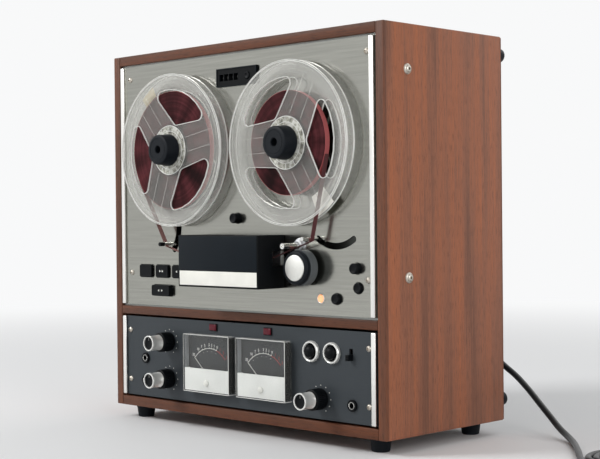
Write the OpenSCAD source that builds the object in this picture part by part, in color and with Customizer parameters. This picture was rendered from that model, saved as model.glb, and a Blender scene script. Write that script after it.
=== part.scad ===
// Upright reel to reel tape deck in a wooden sleeve.
// Millimetres, +Z up, front towards -Y, origin under the middle of the case on the floor.

/* [Cabinet] */
// Width of the wooden sleeve
cab_w = 444; // [430:1:470]
// Height of the wooden sleeve without its feet
cab_h = 430; // [425:1:450]
// Depth of the wooden sleeve
cab_d = 202; // [190:1:240]
// Thickness of the wooden boards
board_t = 11.5; // [9:0.5:12.5]
// Underside of the rail between the two panels, above the sleeve's bottom
rail_z = 113; // [112.5:0.5:115]
// Thickness of that rail
rail_t = 10; // [6:0.5:11]
// Height of the feet
foot_h = 15.5; // [8:0.5:30]
// How far the rear bumpers stand out behind the sleeve
bumper_h = 8.5; // [4:0.5:15]

/* [Reels] */
// Diameter of a reel
reel_dia = 178; // [170:1:180]
// Distance of each reel's axis from the middle
reel_x = 96.6; // [94:0.2:104]
// Height of the reels' axes above the sleeve's bottom
reel_z = 310; // [308:1:318]
// Distance of the reel's front face in front of the sleeve
reel_front = 17.2; // [16.5:0.1:20]
// Diameter of the tape wound on the left reel
left_pack_dia = 138; // [80:1:150]
// Diameter of the tape wound on the right reel
right_pack_dia = 113; // [80:1:150]
// Diameter of the rubber hub caps
cap_dia = 37; // [30:1:44]
// Width of the tape
tape_w = 6.3; // [5:0.1:6.4]

/* [Transport] */
// How far the head cover stands out in front of the sleeve
cover_out = 39.5; // [34:0.5:44]
// Diameter of the rubber pinch roller
roller_dia = 39; // [34:0.5:40]
// Diameter of the capstan shaft
capstan_dia = 6.2; // [4:0.1:6.4]
// Diameter of the round push buttons on the transport panel
push_dia = 11.4; // [8:0.2:14]
// Width of a transport key
key_w = 22.6; // [20:0.2:28]
// Height of a transport key
key_h = 15; // [10:0.5:18]

/* [Amplifier] */
// Width of a level meter
meter_w = 78.5; // [60:0.5:84]
// Height of a level meter
meter_h = 67; // [60:0.5:70]
// How far a level meter stands out in front of the sleeve
meter_out = 9.7; // [9:0.1:14]
// Diameter of the front half of a level knob
knob_dia = 18.4; // [14:0.2:20]
// Diameter of the rear half of a level knob
knob_base_dia = 23; // [20:0.2:26]
// How far a level knob stands out in front of the sleeve
knob_out = 31.5; // [28:0.5:38]
// Radius of the hole in a headphone or microphone jack
jack_r = 3.25; // [3.2:0.05:3.4]

/* [Mains lead] */
// Diameter of the mains lead
cord_dia = 7; // [5:0.5:7]
// Turns in each of the coil's two layers
coil_turns = 3; // [2:1:3]

/* [Hidden] */
$fn = 64;
edge_gap = 0.3;
run_gap = 0.4;
// Front plane of the sleeve and its bottom, in the part's frame
y_front = (cover_out - cab_d - bumper_h) / 2;
z_base = foot_h;
in_x = cab_w / 2 - board_t;
in_top = cab_h - board_t;
rail_top = rail_z + rail_t;
// Panels: recess behind the sleeve's front, thickness and margin to the wood
panel_y = 1.5;
panel_t = 2.5;
panel_back = panel_y + panel_t;
panel_margin = 2.5;
panel_x = in_x - panel_margin;
deck_low = rail_top + panel_margin;
deck_high = in_top - panel_margin;
amp_low = board_t + panel_margin;
amp_high = rail_z - panel_margin;
trim_w = 6;
trim_t = 3;
deck_screw_x = [-191.6, 197.4];
deck_screw_z = [164, 400.3];
amp_screw_x = [-195.5, 197.4];
amp_screw_z = [33, 93.4];
side_screw_y = 37;
side_screw_z = [166, 382.5];
screw_r = 1.8;
foot_x = 193.5;
foot_y = [23, 176];
// Reel, hub and spindle
reel_r = reel_dia / 2;
flange_t = 1.6;
reel_t = 12.4;
reel_back = reel_front - reel_t;
hub_r = 29;
spindle_r = 3.8;
shaft_r = 5;
window_r = 71;
window_inner = 30;
window_angle = 64.7;
window_round = 7;
left_windows = 70;
right_windows = 2;
cap_out = 35;
tape_mid = reel_front - reel_t / 2;
// Motor plate behind the transport panel
plate_y = 31;
plate_t = 3;
motor_y = plate_y + plate_t;
motor_r = 42;
motor_l = 70;
// Tension arms: pivots, arm lengths and rest angles from +X
arm_y = 10;
arm_t = 3;
stud_r = 4;
rod_r = 2.2;
rod_out = 24;
right_pivot = [152, 245.5];
right_arm = 46.6;
right_rest = 236.5;
right_end = 303;
left_pivot = [-150.3, 222];
left_arm = 48.3;
left_rest = -27.5;
left_low = -35;
left_high = 2;
right_slot_r = 3.6;
left_slot_r = 4.6;
right_rod = right_pivot + right_arm * toward(right_rest);
left_rod = left_pivot + left_arm * toward(left_rest);
// Capstan, pinch roller and drive
capstan = [99, 199];
capstan_out = 26;
bearing_out = 2.5;
flywheel_r = 44;
flywheel_y = 38;
flywheel_t = 16;
pinch_pivot = [71.6, 154.6];
pinch_axis = [111.2, 175.8];
roller_r = roller_dia / 2;
roller_front = 20;
roller_back = 3.3;
axle_r = 4;
motor_axis = [-12, 190];
pulley_r = 12;
drive_motor_y = 64;
belt_y = 41;
belt_w = 8;
belt_t = 1;
// Head cover and tape guides
cover_x = [-56, 75];
cover_z = [152.5, 211];
cover_wall = 2;
head_low = 181.6;
guide_r = 3;
guide_z = 184.4;
left_guide = [-49, guide_z];
right_guide = [52, guide_z];
tape_t = 0.3;
tape_clear = 0.6;
// Keys and round buttons: centres, then how far each stands out
key_x = [-162.5, -132.1, -101.8];
key_z = 166.7;
key_out = 1.5;
key_back = 12;
stop_w = 32.7;
stop_h = 13.1;
stop_z = 143.7;
stop_out = 3.9;
push_back = 14;
mode_pos = [0.5, 229.5];
mode_out = 7;
repeat_pos = [182, 176];
repeat_out = 5.7;
speed_pos = [183.7, 155.6];
speed_out = 1.5;
power_pos = [153.1, 143.3];
power_out = 2.7;
lamp_pos = [130, 143];
// Tape counter
counter_x = [-30.7, 35.5];
counter_z = [379.3, 400.2];
counter_rim = 1.8;
counter_back = 30;
wheel_axis_y = 9.7;
wheel_z = 389.6;
wheel_r = 6.8;
wheel_w = 6.8;
wheel_pitch = 8.1;
units_x = 2.1;
window_w = 6.6;
window_h = 7.7;
reset_x = 20.6;
reset_r = 4.3;
reset_out = 2.2;
// Amplifier panel: knobs, meters, lamps, buttons, switch and jacks
knob_pos = [[-122, 82.7], [-122, 38.7], [128, 36]];
knob_split = 15;
knob_hole_r = 4.5;
sleeve_r = 4;
stem_r = 2.3;
meter_x = 45.2;
meter_z = 61.7;
meter_wall = 1.5;
pivot_z = 45;
needle_l = 34.5;
needle_rest = 48;
can_r = 22;
neck_r = 20;
mask_top = 55.8;
lamp_x = [-42.3, 47.9];
lamp_z = 103.6;
lamp_w = 12.3;
lamp_h = 8.2;
select_x = [115, 145.5];
select_z = 85.8;
select_r = 7.2;
bezel_r = 11.6;
switch_x = [169.6, 174.8];
switch_z = [79.2, 91.9];
slider_h = 6.3;
jack_pos = [[-166, 60.4], [-166, 33], [174, 32.6]];
jack_l = 21;
// Rear cover, sockets and mains lead
rear_y = 190;
rear_t = 3;
rear_face = rear_y + rear_t;
socket_x = [-90, -65, -40, -15, 10, 35];
socket_z = 70;
gland_pos = [150, 74.5];
gland_l = 34.5;
gland_r = 7.5;
cord_r = cord_dia / 2;
floor_gap = 0.1;
cord_low = cord_r + floor_gap;
// Route of the lead from the strain relief to the coil
route = [
    [150, 142, 90], [151, 153, 89], [156, 163, 86], [166, 170, 80], [184, 171, 68],
    [203, 167, 58], [226, 157, 46], [248, 147, 33], [269, 137, 21], [288, 127, 11],
    [309, 113, 5], [330, 91, cord_low], [352, 63, cord_low], [377, 29, cord_low],
    [394, 7, cord_low]
];
// Coil: two layers of turns, wound in on the floor and out again on top
coil_centre = [450, 15];
coil_mid = 38.5;
coil_pitch = cord_dia + 0.5;
coil_out = coil_mid + coil_pitch * coil_turns / 2;
coil_start = 218;
coil_rings = 24;
coil_sides = 6;
layer_h = cord_dia + 0.6;
plug_l = 38;
plug_r = cord_r + layer_h;

wood = [0.45, 0.25, 0.18];
aluminium = [0.68, 0.68, 0.65];
slate = [0.27, 0.30, 0.32];
black = [0.08, 0.09, 0.10];
steel = [0.60, 0.61, 0.62];
nickel = [0.80, 0.80, 0.78];
clear = [0.88, 0.89, 0.87, 0.4];
tape_brown = [0.25, 0.11, 0.12];

// A round bar along the depth, from y0 to y1 behind the sleeve's front
module peg(pos, r, y0, y1) {
    translate([pos[0], y_front + y0, z_base + pos[1]])
        rotate([-90, 0, 0])
            cylinder(r = r, h = y1 - y0);
}

// A ring along the depth
module ring(pos, r, bore, y0, y1) {
    difference() {
        peg(pos, r, y0, y1);
        peg(pos, bore, y0 - 1, y1 + 1);
    }
}

// A box given by its limits across, in depth and in height
module block(x, y, z) {
    translate([x[0], y_front + y[0], z_base + z[0]])
        cube([x[1] - x[0], y[1] - y[0], z[1] - z[0]]);
}

// A box centred across and in height
module centred_block(pos, w, h, y) {
    block([pos[0] - w / 2, pos[0] + w / 2], y, [pos[1] - h / 2, pos[1] + h / 2]);
}

// An outline drawn as seen from the front, thick from y0 to y1
module slab(y0, y1) {
    translate([0, y_front + y1, z_base])
        rotate([90, 0, 0])
            linear_extrude(y1 - y0)
                children();
}

// A turned shape on an axis along the depth, its profile drawn as [radius, depth]
module turned(pos) {
    translate([pos[0], y_front, z_base + pos[1]])
        rotate([-90, 0, 0])
            rotate_extrude()
                children();
}

// Both sides of the part
module both_sides() {
    for (side = [-1, 1])
        scale_x(side) children();
}

module scale_x(side) {
    if (side < 0) mirror([1, 0, 0]) children();
    else children();
}

// Unit vector at an angle from +X
function toward(a) = [cos(a), sin(a)];

// Outline of a curved slot with round ends around a pivot
module slot_outline(pivot, arm, from, to, half) {
    steps = 12;
    function on_arm(a) = pivot + arm * toward(a);
    outer = [for (i = [0 : steps]) pivot + (arm + half) * toward(from + (to - from) * i / steps)];
    inner = [for (i = [0 : steps]) pivot + (arm - half) * toward(to + (from - to) * i / steps)];
    far_end = [for (i = [1 : steps - 1]) on_arm(to) + half * toward(to + 180 * i / steps)];
    near_end = [for (i = [1 : steps - 1]) on_arm(from) + half * toward(from + 180 + 180 * i / steps)];
    polygon(concat(outer, far_end, inner, near_end));
}

// Wooden sleeve
module cabinet_sides() {
    color(wood) both_sides() difference() {
        block([in_x, cab_w / 2], [0, cab_d], [0, cab_h]);
        for (z = side_screw_z)
            translate([in_x - 1, y_front + side_screw_y, z_base + z])
                rotate([0, 90, 0])
                    cylinder(r = screw_r + edge_gap, h = board_t + 2);
    }
}

module cabinet_cross_boards() {
    color(wood) {
        block([-in_x, in_x], [0, cab_d], [in_top, cab_h]);
        block([-in_x, in_x], [0, cab_d], [0, board_t]);
        block([-in_x, in_x], [0, rear_y], [rail_z, rail_top]);
    }
}

// Ventilated back, set into the sleeve
module rear_cover() {
    vent_w = 60;
    vent_h = 5;
    color([0.16, 0.16, 0.17]) difference() {
        block([-in_x, in_x], [rear_y, rear_face], [board_t, in_top]);
        for (x = [-150, -75, 0, 75, 150], z = [180 : 14 : 390])
            centred_block([x, z], vent_w, vent_h, [rear_y - 1, rear_face + 1]);
        peg(gland_pos, gland_r - 2 + edge_gap, rear_y - 1, rear_face + 1);
    }
}

// Brushed aluminium transport panel
module deck_plate() {
    cut = [panel_y - 1, panel_back + 1];
    color(aluminium) difference() {
        block([-panel_x, panel_x], [panel_y, panel_back], [deck_low, deck_high]);
        for (side = [-1, 1])
            peg([side * reel_x, reel_z], shaft_r + 3, cut[0], cut[1]);
        for (x = deck_screw_x, z = deck_screw_z)
            peg([x, z], screw_r + edge_gap, cut[0], cut[1]);
        for (x = key_x)
            centred_block([x, key_z], key_w + 1.2, key_h + 1.2, cut);
        centred_block([key_x[1], stop_z], stop_w + 1.2, stop_h + 1.2, cut);
        for (pos = [mode_pos, repeat_pos, speed_pos, power_pos])
            peg(pos, push_dia / 2 + run_gap, cut[0], cut[1]);
        peg(lamp_pos, 3.3, cut[0], cut[1]);
        peg(capstan, capstan_dia / 2 + 4, cut[0], cut[1]);
        centred_block(pinch_axis, 14, 16, cut);
        block(counter_x + counter_rim * [1, -1], cut, counter_z + counter_rim * [1, -1]);
        slab(cut[0], cut[1])
            slot_outline(right_pivot, right_arm, right_rest, right_end, right_slot_r);
        slab(cut[0], cut[1])
            slot_outline(left_pivot, left_arm, left_low, left_high, left_slot_r);
    }
}

// Dark amplifier panel
module amplifier_panel() {
    cut = [panel_y - 1, panel_back + 1];
    color(slate) difference() {
        block([-panel_x, panel_x], [panel_y, panel_back], [amp_low, amp_high]);
        for (x = amp_screw_x, z = amp_screw_z)
            peg([x, z], screw_r + edge_gap, cut[0], cut[1]);
        for (pos = knob_pos)
            peg(pos, knob_hole_r, cut[0], cut[1]);
        for (x = select_x)
            peg([x, select_z], select_r + run_gap, cut[0], cut[1]);
        for (pos = jack_pos)
            peg(pos, jack_r + 2, cut[0], cut[1]);
        for (side = [-1, 1])
            peg([side * meter_x, meter_z], neck_r + edge_gap, cut[0], cut[1]);
        block(switch_x, cut, switch_z);
    }
}

// Bright strips down both ends of each panel
module trim_strips() {
    color(nickel) both_sides()
        for (z = [[deck_low, deck_high], [amp_low, amp_high]])
            block([panel_x - trim_w, panel_x], [panel_y - trim_t, panel_y], z);
}

// Domed screw seen from outside, along +Z of its own frame
module screw_shape(head_r, head_h, shank_l) {
    cylinder(r = screw_r, h = shank_l);
    translate([0, 0, -head_h * 0.4])
        cylinder(r = head_r, h = head_h * 0.4);
    translate([0, 0, -head_h])
        cylinder(r1 = head_r * 0.55, r2 = head_r, h = head_h * 0.6);
}

module screws() {
    color(nickel) {
        for (x = deck_screw_x, z = deck_screw_z)
            translate([x, y_front + panel_y, z_base + z])
                rotate([-90, 0, 0])
                    screw_shape(3.4, 2.2, 9);
        for (x = amp_screw_x, z = amp_screw_z)
            translate([x, y_front + panel_y, z_base + z])
                rotate([-90, 0, 0])
                    screw_shape(3, 2.4, 9);
        both_sides() for (z = side_screw_z)
            translate([cab_w / 2, y_front + side_screw_y, z_base + z])
                rotate([0, -90, 0]) {
                    screw_shape(4.5, 3.5, board_t + 2.5);
                    translate([0, 0, -1])
                        cylinder(r = 7, h = 1);
                }
    }
}

// Tapered feet and the bumpers on the back
module feet() {
    color(black) {
        for (x = [-foot_x, foot_x], y = foot_y)
            translate([x, y_front + y, 0])
                cylinder(r1 = 9.8, r2 = 11.8, h = foot_h);
        for (x = [-1, 1], z = [23, cab_h - 20])
            translate([x * (cab_w / 2 - 9), y_front + cab_d, z_base + z])
                rotate([-90, 0, 0])
                    cylinder(r1 = 8.3, r2 = 7.8, h = bumper_h);
    }
}

// Black cover over the heads, open at the back and slotted for the tape
module head_cover() {
    color(black) difference() {
        block(cover_x, [-cover_out, panel_y], cover_z);
        block(
            cover_x + cover_wall * [1, -1],
            [-cover_out + cover_wall, panel_y + 1],
            cover_z + cover_wall * [1, -1]
        );
        block(
            [cover_x[0] - 1, cover_x[1] + 1],
            [-tape_mid - 6, panel_y + 1],
            [head_low - 4, head_low + 12]
        );
    }
}

// Base plate with three heads and two tape guides
module head_block() {
    head_out = tape_mid + 6;
    color(steel) {
        block([cover_x[0] + 6, cover_x[1] - 4], [-1, panel_y], [cover_z[0] + 6, cover_z[1] - 4]);
        for (x = [-26, 6, 38])
            block([x - 7, x + 7], [-head_out, -1], [head_low, head_low + 20]);
        for (pos = [left_guide, right_guide])
            peg(pos, guide_r, -head_out, -1);
    }
}

// Tape run: the circles that the tape passes on its left, from the left reel to the right one
tape_circles = [
    [[-reel_x, reel_z], left_pack_dia / 2],
    [left_rod, rod_r],
    [left_guide, guide_r],
    [right_guide, guide_r],
    [right_rod, rod_r],
    [[reel_x, reel_z], right_pack_dia / 2]
];
function angle_of(v) = atan2(v[1], v[0]);
function leg_angle(a, b) = let (d = b[0] - a[0]) angle_of(d) + asin((a[1] - b[1]) / norm(d));
function beside(c, out, heading) = c[0] + (c[1] + tape_clear + out) * [sin(heading), -cos(heading)];
function unwrap(from, to) = to + 360 * round((from - to) / 360);
tape_legs = [for (i = [0 : len(tape_circles) - 2]) leg_angle(tape_circles[i], tape_circles[i + 1])];
function tape_edge(out) = concat(
    [beside(tape_circles[0], out, tape_legs[0])],
    [
        for (i = [1 : len(tape_circles) - 2])
            let (to = unwrap(tape_legs[i - 1], tape_legs[i]), steps = 8)
                for (k = [0 : steps])
                    beside(tape_circles[i], out, tape_legs[i - 1] + (to - tape_legs[i - 1]) * k / steps)
    ],
    [beside(tape_circles[len(tape_circles) - 1], out, tape_legs[len(tape_legs) - 1])]
);
function reversed(list) = [for (i = [len(list) - 1 : -1 : 0]) list[i]];

module tape_run() {
    color(tape_brown)
        slab(-tape_mid - tape_w / 2, -tape_mid + tape_w / 2)
            polygon(concat(tape_edge(tape_t), reversed(tape_edge(0))));
}

// Folded steel frame behind the transport panel, with the pivots and the capstan bearing
module transport_chassis() {
    web = 2;
    rim_x = 20;
    rim_z = 12;
    chassis_back = 120;
    x_out = [-in_x, in_x];
    z_out = [rail_top, in_top];
    color(steel) difference() {
        union() {
            difference() {
                block(x_out, [panel_back, chassis_back], z_out);
                block(
                    x_out + web * [1, -1], [panel_back + web, chassis_back + 1], z_out + web * [1, -1]
                );
                block(
                    x_out + rim_x * [1, -1], [panel_back - 1, panel_back + web + 1], z_out + rim_z * [1, -1]
                );
            }
            block(x_out + web * [1, -1], [plate_y, plate_y + plate_t], z_out + web * [1, -1]);
            for (x = deck_screw_x, z = deck_screw_z)
                peg([x, z], screw_r + 4, panel_back, panel_back + web);
            for (pos = [right_pivot, left_pivot, pinch_pivot])
                peg(pos, stud_r, arm_y - 2, plate_y);
            peg(capstan, capstan_dia / 2 + 3.4, -bearing_out, plate_y);
        }
        for (side = [-1, 1])
            peg([side * reel_x, reel_z], shaft_r + 3, plate_y - 1, plate_y + plate_t + 1);
        peg(capstan, capstan_dia / 2 + run_gap, -6, plate_y + plate_t + 1);
        for (x = deck_screw_x, z = deck_screw_z)
            peg([x, z], screw_r + edge_gap, panel_back - 1, panel_back + web + 1);
        both_sides() for (z = side_screw_z)
            translate([in_x - web - 1, y_front + side_screw_y, z_base + z])
                rotate([0, 90, 0])
                    cylinder(r = screw_r + edge_gap, h = web + 2);
    }
}

// Two reel motors and the capstan motor
module drive_motors() {
    color([0.32, 0.33, 0.34]) {
        for (side = [-1, 1])
            ring([side * reel_x, reel_z], motor_r, shaft_r + run_gap, motor_y, motor_y + motor_l);
        difference() {
            union() {
                peg(motor_axis, 36, drive_motor_y, drive_motor_y + motor_l);
                for (z = [-1, 1])
                    centred_block(motor_axis + [0, 30 * z], 30, 8, [motor_y, drive_motor_y]);
            }
            peg(motor_axis, 3 + run_gap, drive_motor_y - 1, drive_motor_y + 40);
        }
    }
}

// Mains transformer with its laminated core, windings and feet
module power_transformer() {
    pos = [-150, 140];
    color([0.45, 0.40, 0.32]) {
        block([pos[0] - 38, pos[0] + 38], [pos[1] - 18, pos[1] + 18], [board_t + 4, board_t + 68]);
        block([pos[0] - 24, pos[0] + 24], [pos[1] - 30, pos[1] + 30], [board_t + 16, board_t + 56]);
        block([pos[0] - 48, pos[0] + 48], [pos[1] - 18, pos[1] + 18], [board_t, board_t + 4]);
    }
}

// Circuit board on its stand-offs, with capacitors and the level controls behind the knobs
module amplifier_board() {
    board_z = 24;
    color([0.20, 0.34, 0.22]) {
        block([-90, 195], [60, 175], [board_z, board_z + 1.6]);
        for (x = [-82, 187], y = [68, 167])
            translate([x, y_front + y, z_base + board_t])
                cylinder(r = 4, h = board_z - board_t);
        for (x = [-60, -20, 20, 60, 100, 140], y = [85, 125])
            translate([x, y_front + y, z_base + board_z + 1.6])
                cylinder(r = 8, h = 30);
        for (pos = knob_pos)
            ring(pos, 12, sleeve_r + run_gap, panel_back, 22);
    }
}

// Level meters: can behind the panel, dial plate, lower mask and pivot pin
module meter_case(side) {
    x = side * meter_x;
    w = meter_w - 2 * meter_wall - 1;
    low = meter_z - meter_h / 2 + meter_wall + 0.5;
    high = meter_z + meter_h / 2 - meter_wall - 0.5;
    mask_y = -meter_out + meter_wall + edge_gap;
    peg([x, meter_z], can_r, panel_back, 30);
    peg([x, meter_z], neck_r, -0.5, panel_back);
    block([x - w / 2, x + w / 2], [-2, -0.5], [low, high]);
    block([x - w / 2, x + w / 2], [mask_y, mask_y + 1], [low, mask_top]);
    for (end = [-1, 1])
        block([x + end * (w / 2 - 1) - 1, x + end * (w / 2 - 1) + 1], [mask_y + 1, -2], [low, mask_top]);
    peg([x, pivot_z], 1, -5, -2);
}

module meter_cases() {
    color([0.75, 0.75, 0.73])
        for (side = [-1, 1]) meter_case(side);
}

// Clear boxes over the meters
module meter_covers() {
    color(clear) for (side = [-1, 1]) difference() {
        centred_block([side * meter_x, meter_z], meter_w, meter_h, [-meter_out, panel_y]);
        centred_block(
            [side * meter_x, meter_z], meter_w - 2 * meter_wall, meter_h - 2 * meter_wall,
            [-meter_out + meter_wall, panel_y + 1]
        );
    }
}

// Needle of one meter, leaning to the left at rest
module meter_needle(side) {
    pos = [side * meter_x, pivot_z];
    color([0.92, 0.92, 0.90]) difference() {
        union() {
            peg(pos, 2.6, -4, -3);
            translate([pos[0], y_front - 4, z_base + pos[1]])
                rotate([0, -needle_rest, 0])
                    translate([-0.5, 0, 0])
                        cube([1, 0.6, needle_l]);
        }
        peg(pos, 1 + run_gap, -5, -2);
    }
}

// Two red record lamps and the round power lamp
module indicator_lamps() {
    color([0.55, 0.05, 0.10])
        for (x = lamp_x)
            centred_block([x, lamp_z], lamp_w, lamp_h, [-1, panel_y]);
    color([1.0, 0.6, 0.2]) {
        peg(lamp_pos, 4.7, -1.5, panel_y);
        peg(lamp_pos, 3, panel_y, 10);
    }
}

// Collared jacks, bezels round the record buttons and line sockets on the back
module sockets_and_bezels() {
    color(nickel) {
        for (pos = jack_pos) difference() {
            union() {
                peg(pos, 6.4, -1, panel_y);
                peg(pos, jack_r + 1.7, panel_y, jack_l + 3);
            }
            peg(pos, jack_r, -2, jack_l);
        }
        for (x = select_x)
            turned([x, select_z])
                polygon([
                    [bezel_r, panel_y], [bezel_r, -0.6], [bezel_r - 1.2, -2.4],
                    [select_r + 2, -2.4], [select_r + 1, -1.2], [select_r + 1, panel_y]
                ]);
        for (x = socket_x, z = [socket_z, socket_z + 24]) difference() {
            union() {
                peg([x, z], 6, rear_face, rear_face + 1.5);
                peg([x, z], 4.2, rear_face, cab_d);
            }
            peg([x, z], 1.6, rear_face + 2, cab_d + 1);
        }
    }
}

// Four digit tape counter: bezel, box, axle and the three carry wheels
module counter_case() {
    rim = counter_rim;
    box_x = counter_x + (rim + edge_gap) * [1, -1];
    box_z = counter_z + (rim + edge_gap) * [1, -1];
    wall = 1;
    color(black) {
        difference() {
            union() {
                block(counter_x, [-1, panel_y], counter_z);
                block(box_x, [panel_y, counter_back], box_z);
            }
            block(box_x + wall * [1, -1], [1, counter_back - wall], box_z + wall * [1, -1]);
            for (i = [0 : 3])
                centred_block([units_x - i * wheel_pitch, wheel_z], window_w, window_h, [-2, 2]);
            peg([reset_x, wheel_z], reset_r + run_gap, -2, 2);
        }
        translate([box_x[0], y_front + wheel_axis_y, z_base + wheel_z])
            rotate([0, 90, 0])
                cylinder(r = 1.5, h = 10 - box_x[0]);
        block([8.5, 10], [0.5, counter_back], box_z);
        for (i = [1 : 3])
            translate([
                units_x - i * wheel_pitch - wheel_w / 2, y_front + wheel_axis_y, z_base + wheel_z
            ])
                rotate([0, 90, 0])
                    cylinder(r = wheel_r, h = wheel_w);
    }
}

module counter_units_wheel() {
    color(black)
        translate([units_x - wheel_w / 2, y_front + wheel_axis_y, z_base + wheel_z])
            rotate([0, 90, 0])
                difference() {
                    cylinder(r = wheel_r, h = wheel_w);
                    translate([0, 0, -1])
                        cylinder(r = 1.5 + run_gap, h = wheel_w + 2);
                }
}

module counter_reset_button() {
    color(black) peg([reset_x, wheel_z], reset_r, -reset_out, 16);
}

// One clear window of a reel's flange
module reel_window() {
    reach = reel_r * 1.5;
    wedge = [
        [window_inner, 0],
        [window_inner + reach * cos(window_angle), reach * sin(window_angle)],
        [reach * 2, 0],
        [window_inner + reach * cos(window_angle), -reach * sin(window_angle)]
    ];
    offset(r = window_round, $fn = 32) offset(delta = -window_round) intersection() {
        polygon(wedge);
        circle(r = window_r);
    }
}

// Clear reel with two flanges, each with three windows, on a hollow hub
module reel(side, turn) {
    pos = [side * reel_x, reel_z];
    color(clear) difference() {
        union() {
            peg(pos, reel_r, -reel_front, -reel_front + flange_t);
            peg(pos, reel_r, -reel_back - flange_t, -reel_back);
            ring(pos, hub_r, hub_r - 3, -reel_front, -reel_back);
            ring(pos, spindle_r + 4, spindle_r + 0.3, -reel_front, -reel_back);
        }
        slab(-reel_front - 1, -reel_back + 1) for (i = [0 : 2])
            translate(pos)
                rotate(turn + 120 * i)
                    reel_window();
        peg(pos, spindle_r + 0.3, -reel_front - 1, -reel_back + 1);
    }
}

module tape_pack(side, dia) {
    color(tape_brown)
        ring(
            [side * reel_x, reel_z], dia / 2, hub_r + 0.2,
            -tape_mid - tape_w / 2, -tape_mid + tape_w / 2
        );
}

// Turntable under a reel, with the spindle in front and the motor shaft behind
module reel_table(side) {
    pos = [side * reel_x, reel_z];
    color([0.20, 0.21, 0.22]) {
        peg(pos, 36, -reel_back, -1);
        peg(pos, spindle_r, -cap_out + 8, -reel_back);
        peg(pos, shaft_r, -1, motor_y + 30);
    }
}

// Rubber cap that holds a reel on its spindle
module hub_cap(side) {
    r = cap_dia / 2;
    color(black) turned([side * reel_x, reel_z])
        polygon([
            [4.4, -cap_out], [r - 2.5, -cap_out], [r - 1, -cap_out + 1.5], [r, -reel_front - 2],
            [r, -reel_front], [spindle_r + 0.2, -reel_front], [spindle_r + 0.2, -cap_out + 8],
            [4.4, -cap_out + 7]
        ]);
}

// Capstan shaft with its flywheel
module capstan_flywheel() {
    color(steel) difference() {
        union() {
            peg(capstan, capstan_dia / 2, -capstan_out, flywheel_y + flywheel_t);
            peg(capstan, flywheel_r, flywheel_y, flywheel_y + flywheel_t);
        }
        peg(capstan, 1.6, -capstan_out - 1, -capstan_out + 4);
    }
}

module motor_pulley() {
    color(steel) {
        peg(motor_axis, pulley_r, flywheel_y, flywheel_y + flywheel_t);
        peg(motor_axis, 3, flywheel_y, drive_motor_y + 30);
    }
}

// Flat rubber belt from the motor pulley to the flywheel
module drive_belt() {
    color(black) slab(belt_y, belt_y + belt_w) difference() {
        belt_loop(run_gap + belt_t);
        belt_loop(run_gap);
    }
}

module belt_loop(out) {
    hull() {
        translate(motor_axis)
            circle(r = pulley_r + out);
        translate(capstan)
            circle(r = flywheel_r + out);
    }
}

// Flat arm behind the panel from a pivot stud to a post
module arm(pivot, pos, width) {
    d = pos - pivot;
    difference() {
        union() {
            peg(pivot, stud_r + 4, arm_y - 1, arm_y + arm_t + 2);
            translate([pivot[0], y_front + arm_y, z_base + pivot[1]])
                rotate([0, -angle_of(d), 0])
                    translate([0, 0, -width / 2])
                        cube([norm(d) + 1.5, arm_t, width]);
            peg(pos, width / 2 + 0.8, arm_y - 0.5, arm_y + arm_t + 0.5);
        }
        peg(pivot, stud_r + run_gap, arm_y - 3, arm_y + arm_t + 4);
    }
}

module left_tension_arm() {
    color(nickel) {
        arm(left_pivot, left_rod, 8);
        peg(left_rod, rod_r, -rod_out, arm_y + arm_t / 2);
    }
}

module right_tension_arm() {
    color(nickel) {
        arm(right_pivot, right_rod, 8);
        peg(right_rod, rod_r, -rod_out, arm_y + arm_t / 2);
    }
}

module pinch_arm() {
    color(steel) {
        arm(pinch_pivot, pinch_axis, 12);
        peg(pinch_axis, axle_r, -roller_front + 2.5, arm_y + arm_t / 2);
    }
}

// Rubber roller on its axle, with a raised disc in front
module pinch_roller() {
    color(black) difference() {
        union() {
            peg(pinch_axis, roller_r, -roller_front, -roller_back);
            peg(pinch_axis, 14.2, -roller_front - 0.8, -roller_front);
        }
        peg(pinch_axis, axle_r + run_gap, -roller_front + 2, -roller_back + 1);
    }
}

// Key with rounded corners, guided by its opening in the panel
module key_cap(pos, w, h, out) {
    corner = 2.2;
    color(black) hull()
        for (x = [-1, 1], z = [-1, 1])
            peg(
                pos + [x * (w / 2 - corner), z * (h / 2 - corner)], corner,
                -out, key_back, $fn = 32
            );
}

module push_button(pos, out) {
    color(black) peg(pos, push_dia / 2, -out, push_back);
}

// Front half of a level knob with its stem, hollowed at the front
module knob_front(pos) {
    r = knob_dia / 2;
    color(nickel) difference() {
        union() {
            peg(pos, r, -knob_out, -knob_split - run_gap);
            peg(pos, stem_r, -knob_split - run_gap, 26);
        }
        peg(pos, r - 1.6, -knob_out - 1, -knob_out + 2);
    }
}

// Rear half of a level knob with its sleeve
module knob_rear(pos) {
    color(black) difference() {
        union() {
            peg(pos, knob_base_dia / 2, -knob_split, panel_y - 0.5);
            peg(pos, sleeve_r, panel_y - 0.5, 18);
        }
        peg(pos, stem_r + run_gap, -knob_split - 1, 19);
    }
}

module select_button(x) {
    color(black) {
        peg([x, select_z], select_r, -4.5, push_back);
        translate([x, y_front - 4.5, z_base + select_z])
            rotate([90, 0, 0])
                cylinder(r1 = select_r, r2 = select_r - 2.5, h = 2);
    }
}

module monitor_switch() {
    color(black)
        block(
            switch_x + run_gap * [1, -1], [-5.5, 10],
            [switch_z[0] + run_gap, switch_z[0] + run_gap + slider_h]
        );
}

// Strain relief, lead, coil and plug
module cord_strain_relief() {
    color(black) {
        peg(gland_pos, gland_r - 2, rear_y - 4, rear_face);
        peg(gland_pos, gland_r, rear_face, rear_face + 4);
        translate([gland_pos[0], y_front + rear_face + 4, z_base + gland_pos[1]])
            rotate([-90, 0, 0])
                cylinder(r1 = gland_r - 1, r2 = cord_r + 1, h = gland_l - 4);
    }
}

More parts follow.
